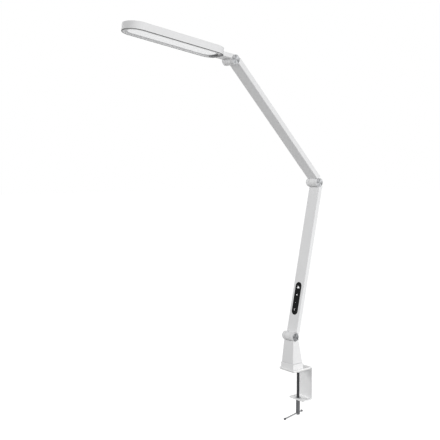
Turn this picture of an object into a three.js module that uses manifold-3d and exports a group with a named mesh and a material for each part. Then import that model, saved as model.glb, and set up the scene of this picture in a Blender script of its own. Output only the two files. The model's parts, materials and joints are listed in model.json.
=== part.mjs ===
// A clamp-on swing arm desk lamp. Millimetres, +Z up.
// The origin is on the clamp screw's axis, at the underside of the upper jaw pad, where the desk top touches it.
// The arms lie in the X-Z plane with the lamp head towards -X, and every tilt hinge turns about an axis along Y.
// Each arm has its own frame: its lower hinge at the origin, Z along the arm, X through its thickness.
import * as THREE from "three";
import { mergeVertices } from "three/addons/utils/BufferGeometryUtils.js";
import Module from "manifold-3d";

const wasm = await Module();
wasm.setup();

// ---------- Driving dimensions ----------

// Clearances
const SLIP = 0.3; // between a piece and the seat it drops into
const WASHER_PLAY = 0.2; // on each face of a hinge washer

// Working allowances of the model
const OVERRUN = 1; // of a cutting solid beyond the face it opens
const LAP = 0.5; // of one joined solid inside the other

// Facets
const ROUND = 20; // around most round pieces
const FINE = 32; // around knuckles and end caps
const SMALL = 12; // around bolts, screws and bores
const CORNER_STEPS = 3; // in a rounded corner
const BEND_STEPS = 6; // in the bracket's bends
const PANEL_STEPS = 10; // in a quarter of the touch panel's round ends
const WINDOW_STEPS = 8; // in a quarter of the window's round ends
const HEAD_STEPS = 14; // in a quarter of the head's round ends

// Clamp bracket, a C bent from strip
const STRIP = 3;
const STRIP_WIDTH = 54.1;
const BEND_INSIDE = 2;
const TOP_PLATE_FRONT = 42.5; // from the screw's axis to the plate's front edge
const LOWER_PLATE_FRONT = 7.4;
const SCREW_TO_BACK = 22.6; // from the screw's axis to the inside of the back plate
const JAW_OPENING = 79.1; // from the jaw pad to the lower plate
const TOP_CORNER = 3;
const LOWER_CORNER = 5;
const JAW_PAD_THICKNESS = 2.7;
const JAW_PAD_INSET = 1.2;

// Clamp screw and its foot
const THREAD_RADIUS = 3.8;
const SCREW_HEAD_RADIUS = 5.2;
const SCREW_HEAD_LENGTH = 39;
const SCREW_HEAD_CHAMFER = 1;
const SCREW_STUB_RADIUS = 2.6;
const SCREW_STUB_LENGTH = 4.4;
const NUT_FLANGE_RADIUS = 7.5;
const NUT_FLANGE_HEIGHT = 2;
const NUT_SLEEVE_RADIUS = 5.8;
const NUT_SLEEVE_DROP = 0.4; // how far the sleeve stands out below the plate
const FOOT_GAP = 2.2; // between the closed foot and the jaw pad
const FOOT_RADIUS = 11;
const FOOT_GRIP_RADIUS = 10.3;
const FOOT_GRIP_THICKNESS = 1.2;
const FOOT_DISC_THICKNESS = 2.2;
const FOOT_HUB_RADIUS = 6.5;
const FOOT_HUB_HEIGHT = 4.6;
const FOOT_HUB_FLARE = 2;
const HEAD_GAP = 0.8; // between the closed screw's head and the nut

// Tommy bar
const BAR_RADIUS = 2;
const BAR_HEIGHT = 4.5; // of its hole above the end of the screw's head
const BAR_ANGLE = 12.6; // degrees, of the bar about the screw at rest
const BAR_LONG_END = 62.8;
const BAR_SHORT_END = 20;
const BAR_END_RADIUS = 2.9; // of its swaged ends
const BAR_END_LENGTH = 5;

// Plinth and swivel
const SWIVEL_X = -22.1; // the swivel's axis, from the clamp screw's
const PLINTH_DEPTH = 36;
const PLINTH_WIDTH = 45.6;
const PLINTH_HEIGHT = 14.4;
const PLINTH_CORNER = 1.5;
const PLINTH_CHAMFER = 1.1;
const PLINTH_SCREW_SPREAD = 15; // each side of the swivel
const PLINTH_SCREW_RADIUS = 2;
const PLINTH_SCREW_DEPTH = 9;
const SWIVEL_RADIUS = 4;
const SWIVEL_HEAD_RADIUS = 8;
const SWIVEL_HEAD_HEIGHT = 2.2;
const SWIVEL_WASHER_RADIUS = 10;
const SWIVEL_WASHER_THICKNESS = 1;
const SWIVEL_NUT_RADIUS = 7.4;
const SWIVEL_NUT_HEIGHT = 6.5;
const SWIVEL_TAIL = 2; // of the bolt above its nut
const GLIDE_RADIUS = 15;
const GLIDE_THICKNESS = 0.6;

// Tower
const HINGE_HEIGHT = 88.6; // of the base hinge above the desk top
const HINGE_SETBACK = -6.4; // of the base hinge from the swivel's axis
const TOWER_FOOT_WIDTH = 42.2;
const TOWER_FOOT_DEPTH = 34.8;
const TOWER_HEAD_WIDTH = 33.8;
const TOWER_HEAD_FRONT = 6.7; // of the tower's head, in front of the hinge's axis
const TOWER_HEAD_BACK = 14.2;
const TOWER_HEAD_DROP = 10; // of the tower's head below the hinge's axis
const TOWER_CORNER = 2.4;
const TOWER_WALL = 2.6;
const TOWER_CAVITY_HEIGHT = 36;
const TOWER_FLOOR = 4;
const TOWER_SCREW_SPREAD = 13.2;
const TOWER_BOSS_RADIUS = 3.2;
const TOWER_SCREW_RADIUS = 1.5;
const TOWER_SCREW_HEAD_RADIUS = 2.9;
const TOWER_SCREW_HEAD_HEIGHT = 1.6;
const TOWER_SCREW_SINK = 0.2; // of its head above the floor's underside
const TOWER_SCREW_LENGTH = 12;
const INLET_HEIGHT = 20; // above the tower's foot
const INLET_RADIUS = 4.8;
const INLET_LENGTH = 10;
const INLET_BORE_RADIUS = 2.8;
const INLET_BORE_DEPTH = 8;
const INLET_PIN_RADIUS = 1;
const INLET_PIN_SINK = 1; // of the pin's end below the socket's rim
const INLET_STANDOUT = 1;

// Tilt hinges, all three alike
const KNUCKLE_RADIUS = 11.2;
const TONGUE_HALF = 8.8; // half the width of the middle knuckle
const HINGE_HALF = 17.5; // half the width over the outer knuckles
const SADDLE_CLEARANCE = 0.8;
const SADDLE_START = 8; // where an arm's end begins, from the hinge's axis
const SHOULDER = 7; // where a knuckle's web meets the arm's upper face
const HINGE_WASHER = 0.6;
const HINGE_WASHER_RADIUS = 10.3;
const HINGE_BOLT_RADIUS = 3;
const HINGE_POCKET_RADIUS = 6.2;
const HINGE_POCKET_DEPTH = 3.8;
const HINGE_HEAD_RADIUS = 5;
const HINGE_HEAD_HEIGHT = 2.6;
const CAP_RADIUS = 10.8;
const CAP_THICKNESS = 2.2;
const CAP_STUB_LENGTH = 0.8;

// Arms
const ARM_WIDTH = 35.6;
const ARM_THICKNESS = 12.7;
const ARM_CORNER = 2;
const ARM_WALL = 1.5;
const ARM_OFFSET = 1.5; // of the arm's lower face from the hinge's axis
const LOWER_ARM_LENGTH = 400; // between its hinges
const UPPER_ARM_LENGTH = 400;
const LOWER_ARM_LEAN = 12.1; // degrees from upright, towards +X
const UPPER_ARM_LEAN = -44.2;
const FOOT_FITTING_REACH = 26; // from a hinge's axis to the tube's end
const FITTING_REACH = 21;
const PLUG_LENGTH = 14;
const WIRE_CHANNEL_RADIUS = 2.2;
const ARM_SCREW_RADIUS = 1.25;
const ARM_SCREW_LENGTH = 6;
const ARM_SCREW_HEAD_RADIUS = 2.6;
const ARM_SCREW_HEAD_HEIGHT = 1.4;

// Touch control on the lower arm
const PANEL_LENGTH = 84;
const PANEL_WIDTH = 20.5;
const PANEL_THICKNESS = 1.7;
const PANEL_STANDOUT = 0.25;
const PANEL_CENTRE = 97.4; // from the base hinge, along the arm
const BOARD_LENGTH = 92;
const BOARD_WIDTH = 26;
const BOARD_THICKNESS = 1.6;
const BOARD_CORNER = 1;
const BOARD_PEG_RADIUS = 1.4;
const BOARD_PEG_SPREAD = 30;
const BOARD_PEG_LENGTH = 1.4; // through the board

// Neck and roll spindle
const HEAD_LEAN = -82.4; // degrees from upright
const NECK_WIDTH = 35.6;
const NECK_LOWER = 0.3; // the neck's lower face, from the head hinge's axis
const NECK_THICKNESS = 10.4;
const NECK_CORNER = 2;
const NECK_LENGTH = 36; // from the hinge's axis to the neck's end
const NECK_GAP = 0.4; // between the neck and the head
const SPINDLE_RADIUS = 2.5;
const SPINDLE_BORE_RADIUS = 1.3;
const SPINDLE_TAIL = 1.2; // of the spindle beyond its nut
const ROLL_NUT_START = 14; // from the hinge's axis
const ROLL_NUT_RADIUS = 4.1; // of the nut and the washer, in the neck's pocket
const ROLL_NUT_HEIGHT = 3.2;
const ROLL_WASHER_THICKNESS = 0.8;

// Lamp head
const HEAD_WIDTH = 63.4;
const HEAD_THICKNESS = 17.3;
const HEAD_FLAT_WIDTH = 35.6; // of the flat at the neck
const HEAD_FAR_END = 288.4; // from the head hinge's axis
const HEAD_RISE = 2.5; // of the head's middle above the roll axis
const HOUSING_WALL = 1.6;
const HOUSING_END_WALL = 4;
const RIM_WIDTH = 6.3; // of the head's lower face around the recess
const RECESS_START = 43.5; // from the head hinge's axis
const RECESS_DEPTH = 2.3;
const BORDER_WIDTH = 6.3; // of the recess around the lit window
const BORDER_THICKNESS = 1.5;
const BEZEL_TAB_LENGTH = 8;
const BEZEL_TAB_HEIGHT = 5;
const BEZEL_TAB_THICKNESS = 1.2;
const BEZEL_TAB_PLACES = [90, 165, 240];
const DIFFUSER_LAP = 1.8;
const DIFFUSER_FLANGE = 1.5;
const REFLECTOR_WALL = 1.6;
const LED_BOARD_WIDTH = 30;
const LED_BOARD_THICKNESS = 1.6;
const HEAT_PLATE_WIDTH = 40;
const HEAT_PLATE_THICKNESS = 1.7;
const HEAD_PLATE_CORNER = 3; // of the circuit board and the heat plate
const HEAT_PLATE_MARGIN = 2; // of the heat plate beyond the window's ends

// ---------- Derived sizes shared by several pieces ----------

const PLATE_TOP = JAW_PAD_THICKNESS + STRIP;
const PLINTH_TOP = PLATE_TOP + PLINTH_HEIGHT;
const TOWER_FOOT = PLINTH_TOP + GLIDE_THICKNESS;
const EAR_START = TONGUE_HALF + HINGE_WASHER + 2 * WASHER_PLAY;
const SADDLE_RADIUS = KNUCKLE_RADIUS + SADDLE_CLEARANCE;
const ARM_MIDDLE = ARM_OFFSET + ARM_THICKNESS / 2;
const NECK_MIDDLE = NECK_LOWER + NECK_THICKNESS / 2;
const HEAD_START = NECK_LENGTH + NECK_GAP;
const HEAD_LOWER = HEAD_RISE - HEAD_THICKNESS / 2;

// ---------- Materials ----------

const FINISHES = {
  paint: { color: 0xf0f0f1, roughness: 0.42, metalness: 0 },
  fitting: { color: 0xe4e5e7, roughness: 0.45, metalness: 0 },
  steel: { color: 0xa7a9ac, roughness: 0.35, metalness: 1 },
  darkSteel: { color: 0x55575b, roughness: 0.4, metalness: 1 },
  rubber: { color: 0x2b2c2e, roughness: 0.85, metalness: 0 },
  nylon: { color: 0xd9d9d4, roughness: 0.6, metalness: 0 },
  blackGloss: { color: 0x0b0c0e, roughness: 0.12, metalness: 0 },
  circuit: { color: 0x1f5a3c, roughness: 0.5, metalness: 0 },
  opal: { color: 0xf7f8f8, roughness: 0.35, metalness: 0 },
  aluminium: { color: 0xc4c6c9, roughness: 0.4, metalness: 1 },
};

// ---------- Geometry helpers ----------

/** Makes a solid from a closed geometry. */
function solidOf(geometry) {
  geometry.deleteAttribute("normal");
  geometry.deleteAttribute("uv");
  const merged = mergeVertices(geometry, 1e-4);
  return new wasm.Manifold(
    new wasm.Mesh({
      numProp: 3,
      vertProperties: new Float32Array(merged.attributes.position.array),
      triVerts: new Uint32Array(merged.index.array),
    }),
  );
}

/** Joins solids into one. */
const join = (first, ...others) => others.reduce((sum, next) => sum.add(next), first);

/** Cuts each tool out of a solid. */
const cut = (solid, ...tools) => tools.reduce((left, tool) => left.subtract(tool), solid);

/** The turn that sets a prism's own Z along an axis; its outline is then in (y, z), (x, z) or (x, y). */
const BASES = {
  x: [new THREE.Vector3(0, 1, 0), new THREE.Vector3(0, 0, 1), new THREE.Vector3(1, 0, 0)],
  y: [new THREE.Vector3(1, 0, 0), new THREE.Vector3(0, 0, 1), new THREE.Vector3(0, -1, 0)],
  z: [new THREE.Vector3(1, 0, 0), new THREE.Vector3(0, 1, 0), new THREE.Vector3(0, 0, 1)],
};

/** A prism along an axis, from one station to another, with an outline of Vector2 points. */
function prism(axis, points, from, to) {
  const geometry = new THREE.ExtrudeGeometry(new THREE.Shape(points), {
    depth: to - from,
    bevelEnabled: false,
  });
  geometry.translate(0, 0, axis === "y" ? -to : from);
  geometry.applyMatrix4(new THREE.Matrix4().makeBasis(...BASES[axis]));
  return solidOf(geometry);
}

/** A box between two corners. */
function box([x0, y0, z0], [x1, y1, z1]) {
  const geometry = new THREE.BoxGeometry(x1 - x0, y1 - y0, z1 - z0);
  geometry.translate((x0 + x1) / 2, (y0 + y1) / 2, (z0 + z1) / 2);
  return solidOf(geometry);
}

/** A rod or cone along an axis; `centre` holds the two other coordinates, in X, Y, Z order. */
function rod(axis, radius, from, to, centre = [0, 0], sides = ROUND, endRadius = radius) {
  const geometry = new THREE.CylinderGeometry(endRadius, radius, to - from, sides);
  const middle = (from + to) / 2;
  if (axis === "x") {
    geometry.rotateZ(-Math.PI / 2);
    geometry.translate(middle, ...centre);
  } else if (axis === "y") {
    geometry.translate(centre[0], middle, centre[1]);
  } else {
    geometry.rotateX(Math.PI / 2);
    geometry.translate(...centre, middle);
  }
  return solidOf(geometry);
}

/** A washer along an axis. */
function ring(axis, outer, inner, from, to, centre = [0, 0], sides = ROUND) {
  return cut(
    rod(axis, outer, from, to, centre, sides),
    rod(axis, inner, from - OVERRUN, to + OVERRUN, centre, sides),
  );
}

/** An outline through [a, b, radius] corners, with each corner rounded by its radius. */
function outline(corners, steps = CORNER_STEPS) {
  const points = [];
  const place = (point) => {
    if (!points.length || point.distanceTo(points.at(-1)) > 1e-4) points.push(point);
  };
  corners.forEach(([a, b, radius = 0], index) => {
    const corner = new THREE.Vector2(a, b);
    const before = new THREE.Vector2(...corners.at(index - 1)).sub(corner).normalize();
    const after = new THREE.Vector2(...corners[(index + 1) % corners.length]).sub(corner).normalize();
    if (radius <= 0) return place(corner);
    const half = Math.acos(before.dot(after)) / 2;
    const inwards = before.clone().add(after).normalize();
    const centre = corner.clone().addScaledVector(inwards, radius / Math.sin(half));
    const start = corner.clone().addScaledVector(before, radius / Math.tan(half)).sub(centre);
    const turn = Math.sign(before.cross(after)) * -(Math.PI - 2 * half);
    for (let step = 0; step <= steps; step += 1) {
      const spoke = start.clone().rotateAround(new THREE.Vector2(), (turn * step) / steps);
      place(spoke.add(centre));
    }
  });
  if (points[0].distanceTo(points.at(-1)) < 1e-4) points.pop();
  return points;
}

/** The corners of a rectangle, each rounded by one radius. */
function rectangle(a0, a1, b0, b1, radius, steps = CORNER_STEPS) {
  return outline(
    [
      [a0, b0, radius],
      [a1, b0, radius],
      [a1, b1, radius],
      [a0, b1, radius],
    ],
    steps,
  );
}

/** A rectangle with two full round ends, along its second direction. */
const stadium = (half, b0, b1, steps) => rectangle(-half, half, b0, b1, half, steps);

/** A closed solid between two outlines with as many points, one above the other. */
function loft(lowerPoints, lowerZ, upperPoints, upperZ) {
  const count = lowerPoints.length;
  const positions = [];
  lowerPoints.forEach((p) => positions.push(p.x, p.y, lowerZ));
  upperPoints.forEach((p) => positions.push(p.x, p.y, upperZ));
  const index = [];
  THREE.ShapeUtils.triangulateShape(lowerPoints, []).forEach(([a, b, c]) => {
    index.push(a, c, b);
    index.push(a + count, b + count, c + count);
  });
  for (let i = 0; i < count; i += 1) {
    const next = (i + 1) % count;
    index.push(i, next, next + count);
    index.push(i, next + count, i + count);
  }
  const geometry = new THREE.BufferGeometry();
  geometry.setAttribute("position", new THREE.Float32BufferAttribute(positions, 3));
  geometry.setIndex(index);
  return solidOf(geometry);
}

/** A named mesh from a solid, with a material of its own. */
function piece(name, solid, finish) {
  const { numProp, vertProperties, triVerts } = solid.getMesh();
  const geometry = new THREE.BufferGeometry();
  const positions = new THREE.InterleavedBuffer(vertProperties, numProp);
  geometry.setAttribute("position", new THREE.InterleavedBufferAttribute(positions, 3, 0));
  geometry.setIndex(new THREE.BufferAttribute(triVerts, 1));
  const plain = geometry.toNonIndexed();
  plain.computeVertexNormals();
  const mesh = new THREE.Mesh(plain, new THREE.MeshStandardMaterial(FINISHES[finish]));
  mesh.name = name;
  return mesh;
}

/** A group at a place, turned about Y (a lean) and then about its own Z (a roll). */
function frame(place, lean = 0, roll = 0) {
  const group = new THREE.Group();
  group.position.set(...place);
  group.rotation.order = "YXZ";
  group.rotation.y = THREE.MathUtils.degToRad(lean);
  group.rotation.z = THREE.MathUtils.degToRad(roll);
  return group;
}

// ---------- Desk clamp ----------

/** What rounding one corner of a plate takes off, as a vertical cutter. */
function cornerCutter(frontX, side, radius, from, to) {
  const edge = (side * STRIP_WIDTH) / 2;
  const inner = edge - side * radius;
  const square = box(
    [frontX - OVERRUN, Math.min(edge + side * OVERRUN, inner), from],
    [frontX + radius, Math.max(edge + side * OVERRUN, inner), to],
  );
  const round = rod("z", radius, from - OVERRUN, to + OVERRUN, [frontX + radius, inner], FINE);
  return cut(square, round);
}

function clampBracket() {
  const back = SCREW_TO_BACK + STRIP;
  const lower = -JAW_OPENING;
  const outside = BEND_INSIDE + STRIP;
  const profile = outline(
    [
      [-TOP_PLATE_FRONT, JAW_PAD_THICKNESS],
      [SCREW_TO_BACK, JAW_PAD_THICKNESS, BEND_INSIDE],
      [SCREW_TO_BACK, lower, BEND_INSIDE],
      [-LOWER_PLATE_FRONT, lower],
      [-LOWER_PLATE_FRONT, lower - STRIP],
      [back, lower - STRIP, outside],
      [back, PLATE_TOP, outside],
      [-TOP_PLATE_FRONT, PLATE_TOP],
    ],
    BEND_STEPS,
  );
  const strip = prism("y", profile, -STRIP_WIDTH / 2, STRIP_WIDTH / 2);
  const topSpan = [JAW_PAD_THICKNESS - OVERRUN, PLATE_TOP + OVERRUN];
  const lowerSpan = [lower - STRIP - OVERRUN, lower + OVERRUN];
  const corners = [-1, 1].flatMap((side) => [
    cornerCutter(-TOP_PLATE_FRONT, side, TOP_CORNER, ...topSpan),
    cornerCutter(-LOWER_PLATE_FRONT, side, LOWER_CORNER, ...lowerSpan),
  ]);
  const swivelHole = rod("z", SWIVEL_RADIUS + SLIP, ...topSpan, [SWIVEL_X, 0]);
  const screwHoles = [-1, 1].map((side) => plinthScrewSolid(side, SLIP));
  const nutHole = rod("z", NUT_SLEEVE_RADIUS + SLIP, ...lowerSpan);
  return cut(strip, ...corners, swivelHole, ...screwHoles, nutHole);
}

/** A countersunk screw from under the top plate into the plinth, grown by a clearance for its hole. */
function plinthScrewSolid(side, growth) {
  const centre = [SWIVEL_X, side * PLINTH_SCREW_SPREAD];
  const base = JAW_PAD_THICKNESS;
  const shank = PLINTH_SCREW_RADIUS + growth;
  const tip = PLATE_TOP + PLINTH_SCREW_DEPTH + growth;
  const face = 2 * PLINTH_SCREW_RADIUS + growth;
  return join(
    rod("z", shank, base, tip, centre, SMALL),
    rod("z", face, base, base + PLINTH_SCREW_RADIUS, centre, SMALL, shank),
  );
}

function jawPad() {
  const half = STRIP_WIDTH / 2 - JAW_PAD_INSET;
  const front = -TOP_PLATE_FRONT + JAW_PAD_INSET;
  const back = SCREW_TO_BACK - BEND_INSIDE - JAW_PAD_INSET;
  const pad = prism("z", rectangle(front, back, -half, half, TOP_CORNER), 0, JAW_PAD_THICKNESS);
  const span = [-OVERRUN, JAW_PAD_THICKNESS + OVERRUN];
  return cut(pad, rod("z", SWIVEL_HEAD_RADIUS + SLIP, ...span, [SWIVEL_X, 0]));
}

function clampNut() {
  const seat = -JAW_OPENING;
  const top = seat + NUT_FLANGE_HEIGHT;
  const end = seat - STRIP - NUT_SLEEVE_DROP;
  const body = join(
    rod("z", NUT_FLANGE_RADIUS, seat, top),
    rod("z", NUT_SLEEVE_RADIUS, end, seat + LAP),
  );
  return cut(body, rod("z", THREAD_RADIUS + SLIP, end - OVERRUN, top + OVERRUN));
}

/** The plinth's outline, drawn in by a margin. */
function plinthOutline(margin) {
  const x = PLINTH_DEPTH / 2 - margin;
  const y = PLINTH_WIDTH / 2 - margin;
  return rectangle(SWIVEL_X - x, SWIVEL_X + x, -y, y, PLINTH_CORNER);
}

function plinth() {
  const shoulder = PLINTH_TOP - PLINTH_CHAMFER;
  const body = join(
    prism("z", plinthOutline(0), PLATE_TOP, shoulder),
    loft(plinthOutline(0), shoulder, plinthOutline(PLINTH_CHAMFER), PLINTH_TOP),
  );
  const span = [PLATE_TOP - OVERRUN, PLINTH_TOP + OVERRUN];
  const bore = rod("z", SWIVEL_RADIUS + SLIP, ...span, [SWIVEL_X, 0]);
  const screwHoles = [-1, 1].map((side) => plinthScrewSolid(side, SLIP));
  return cut(body, bore, ...screwHoles);
}

/** Height of the swivel's friction washer, on the tower's floor. */
const SWIVEL_WASHER_SEAT = TOWER_FOOT + TOWER_FLOOR + SLIP;

function swivelBolt() {
  const nutTop = SWIVEL_WASHER_SEAT + SWIVEL_WASHER_THICKNESS + SLIP + SWIVEL_NUT_HEIGHT;
  const seat = JAW_PAD_THICKNESS;
  return join(
    rod("z", SWIVEL_HEAD_RADIUS, seat - SWIVEL_HEAD_HEIGHT, seat, [SWIVEL_X, 0]),
    rod("z", SWIVEL_RADIUS, seat - LAP, nutTop + SWIVEL_TAIL, [SWIVEL_X, 0]),
  );
}

function deskClamp() {
  const group = new THREE.Group();
  const at = [SWIVEL_X, 0];
  const bore = SWIVEL_RADIUS + SLIP;
  const washerTop = SWIVEL_WASHER_SEAT + SWIVEL_WASHER_THICKNESS;
  const washer = ring("z", SWIVEL_WASHER_RADIUS, bore, SWIVEL_WASHER_SEAT, washerTop, at);
  const nutSeat = washerTop + SLIP;
  const nutTop = nutSeat + SWIVEL_NUT_HEIGHT;
  const nut = cut(
    rod("z", SWIVEL_NUT_RADIUS, nutSeat, nutTop, at, 6),
    rod("z", bore, nutSeat - OVERRUN, nutTop + OVERRUN, at),
  );
  group.add(
    piece("clamp_bracket", clampBracket(), "paint"),
    piece("upper_jaw_pad", jawPad(), "rubber"),
    piece("clamp_nut", clampNut(), "steel"),
    piece("plinth", plinth(), "fitting"),
    piece("plinth_screw_right", plinthScrewSolid(-1, 0), "steel"),
    piece("plinth_screw_left", plinthScrewSolid(1, 0), "steel"),
    piece("swivel_bolt", swivelBolt(), "steel"),
    piece("swivel_glide", ring("z", GLIDE_RADIUS, bore, PLINTH_TOP, TOWER_FOOT, at), "nylon"),
    piece("swivel_washer", washer, "steel"),
    piece("swivel_nut", nut, "steel"),
  );
  return group;
}

// ---------- Clamp screw, foot and tommy bar ----------

const GRIP_BASE = -FOOT_GAP - FOOT_GRIP_THICKNESS;
const DISC_BASE = GRIP_BASE - FOOT_DISC_THICKNESS;
const HUB_BASE = DISC_BASE - FOOT_HUB_HEIGHT;

function footSolid() {
  const flare = FOOT_HUB_RADIUS + FOOT_HUB_FLARE;
  const body = join(
    rod("z", FOOT_RADIUS, DISC_BASE, GRIP_BASE),
    rod("z", FOOT_HUB_RADIUS, HUB_BASE, DISC_BASE + LAP, [0, 0], ROUND, flare),
  );
  const socketTop = HUB_BASE + SCREW_STUB_LENGTH;
  return cut(body, rod("z", SCREW_STUB_RADIUS + SLIP, HUB_BASE - OVERRUN, socketTop));
}

function pressureFoot() {
  const group = new THREE.Group();
  group.add(
    piece("pressure_foot", footSolid(), "steel"),
    piece("pressure_foot_grip", rod("z", FOOT_GRIP_RADIUS, GRIP_BASE, -FOOT_GAP), "rubber"),
  );
  return group;
}

/** The screw's head starts just under the nut. */
const SCREW_HEAD_TOP = -JAW_OPENING - STRIP - NUT_SLEEVE_DROP - HEAD_GAP;
const BAR_Z = SCREW_HEAD_TOP - SCREW_HEAD_LENGTH + BAR_HEIGHT;

function screwSolid() {
  const threadTop = HUB_BASE - SLIP;
  const end = SCREW_HEAD_TOP - SCREW_HEAD_LENGTH;
  const shoulder = end + SCREW_HEAD_CHAMFER;
  const tip = SCREW_HEAD_RADIUS - SCREW_HEAD_CHAMFER;
  const body = join(
    rod("z", SCREW_STUB_RADIUS, threadTop - LAP, threadTop + SCREW_STUB_LENGTH, [0, 0], SMALL),
    rod("z", THREAD_RADIUS, SCREW_HEAD_TOP - LAP, threadTop, [0, 0], SMALL),
    rod("z", SCREW_HEAD_RADIUS, shoulder, SCREW_HEAD_TOP),
    rod("z", tip, end, shoulder, [0, 0], ROUND, SCREW_HEAD_RADIUS),
  );
  const half = SCREW_HEAD_RADIUS + OVERRUN;
  return cut(body, rod("x", BAR_RADIUS + SLIP, -half, half, [0, BAR_Z], SMALL));
}

/** The bar with its swaged ends. */
function tommyBar() {
  const at = [0, BAR_Z];
  return join(
    rod("x", BAR_RADIUS, -BAR_LONG_END + LAP, BAR_SHORT_END - LAP, at, SMALL),
    rod("x", BAR_END_RADIUS, -BAR_LONG_END, -BAR_LONG_END + BAR_END_LENGTH, at, SMALL),
    rod("x", BAR_END_RADIUS, BAR_SHORT_END - BAR_END_LENGTH, BAR_SHORT_END, at, SMALL),
  );
}

function clampScrew() {
  const group = frame([0, 0, 0], 0, BAR_ANGLE);
  group.add(
    piece("clamp_screw", screwSolid(), "darkSteel"),
    piece("tommy_bar", tommyBar(), "steel"),
  );
  return group;
}

// ---------- Tilt hinge hardware ----------

/** Puts a hinge's bolt, nut, washers and end caps in a group, on the Y axis. */
function addHingeHardware(group, name) {
  const pocket = HINGE_HALF - HINGE_POCKET_DEPTH;
  const headEnd = pocket + HINGE_HEAD_HEIGHT;
  const bolt = join(
    rod("y", HINGE_BOLT_RADIUS, -pocket - LAP, headEnd, [0, 0], SMALL),
    rod("y", HINGE_HEAD_RADIUS, -headEnd, -pocket, [0, 0], SMALL),
  );
  const nut = cut(
    rod("y", HINGE_HEAD_RADIUS, pocket, headEnd, [0, 0], 6),
    rod("y", HINGE_BOLT_RADIUS + SLIP, pocket - OVERRUN, headEnd + OVERRUN, [0, 0], SMALL),
  );
  group.add(piece(`${name}_bolt`, bolt, "steel"), piece(`${name}_nut`, nut, "steel"));
  const washerStart = TONGUE_HALF + WASHER_PLAY;
  const bore = HINGE_BOLT_RADIUS + SLIP;
  const stub = HINGE_POCKET_RADIUS - SLIP;
  const sides = [
    ["right", (a, b) => [-b, -a]],
    ["left", (a, b) => [a, b]],
  ];
  for (const [end, span] of sides) {
    const cap = join(
      rod("y", CAP_RADIUS, ...span(HINGE_HALF, HINGE_HALF + CAP_THICKNESS), [0, 0], FINE),
      rod("y", stub, ...span(HINGE_HALF - CAP_STUB_LENGTH, HINGE_HALF + LAP), [0, 0], SMALL),
    );
    const washerSpan = span(washerStart, washerStart + HINGE_WASHER);
    const washer = ring("y", HINGE_WASHER_RADIUS, bore, ...washerSpan);
    group.add(
      piece(`${name}_cap_${end}`, cap, "aluminium"),
      piece(`${name}_washer_${end}`, washer, "nylon"),
    );
  }
}

/**
 * A knuckle between two stations along Y, with the web that joins it to a block from x0 to x1.
 * The web's faces on either side of the axis start at the shoulder, so that the other half can swing.
 */
function knuckle(from, to, x0, x1, webTop) {
  const web = [
    [x0, x0 < 0 ? SHOULDER : 0],
    [x1, SHOULDER],
    [x1, webTop],
    [x0, webTop],
  ];
  return join(
    rod("y", KNUCKLE_RADIUS, from, to, [0, 0], FINE),
    prism("y", outline(web), from, to),
  );
}

/** The knuckles of a hinge half: one in the middle on a tongue, two outside on a fork. */
function knuckles(kind, x0, x1, webTop) {
  if (kind === "tongue") return knuckle(-TONGUE_HALF, TONGUE_HALF, x0, x1, webTop);
  return join(
    knuckle(-HINGE_HALF, -EAR_START, x0, x1, webTop),
    knuckle(EAR_START, HINGE_HALF, x0, x1, webTop),
  );
}

/** The round clearance that a hinge half's block leaves for the other half and for the end caps. */
const saddle = () => rod("y", SADDLE_RADIUS, -ARM_WIDTH, ARM_WIDTH, [0, 0], FINE);

/** The bolt's bore, with the pockets for its head and nut in a fork's outer knuckles. */
function hingeBores() {
  const pocket = HINGE_HALF - HINGE_POCKET_DEPTH;
  return join(
    rod("y", HINGE_BOLT_RADIUS + SLIP, -ARM_WIDTH, ARM_WIDTH, [0, 0], SMALL),
    rod("y", HINGE_POCKET_RADIUS, -ARM_WIDTH, -pocket, [0, 0], SMALL),
    rod("y", HINGE_POCKET_RADIUS, pocket, ARM_WIDTH, [0, 0], SMALL),
  );
}

// ---------- Tower ----------

/** The tower's outline at a height above its foot, drawn in by a margin. */
function towerOutline(height, margin) {
  const full = HINGE_HEIGHT - TOWER_HEAD_DROP - TOWER_FOOT;
  const share = height / full;
  const mix = (foot, head) => foot + (head - foot) * share;
  const front = mix(-TOWER_FOOT_DEPTH / 2, HINGE_SETBACK - TOWER_HEAD_FRONT) + margin;
  const back = mix(TOWER_FOOT_DEPTH / 2, HINGE_SETBACK + TOWER_HEAD_BACK) - margin;
  const half = mix(TOWER_FOOT_WIDTH, TOWER_HEAD_WIDTH) / 2 - margin;
  return rectangle(front, back, -half, half, Math.max(TOWER_CORNER - margin, 0.3));
}

/** Two pillars inside the tower that its floor is screwed to. */
function towerBosses() {
  const span = [TOWER_FLOOR + SLIP, TOWER_CAVITY_HEIGHT + OVERRUN];
  return join(
    ...[-1, 1].map((side) =>
      rod("z", TOWER_BOSS_RADIUS, ...span, [0, side * TOWER_SCREW_SPREAD], SMALL),
    ),
  );
}

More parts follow.
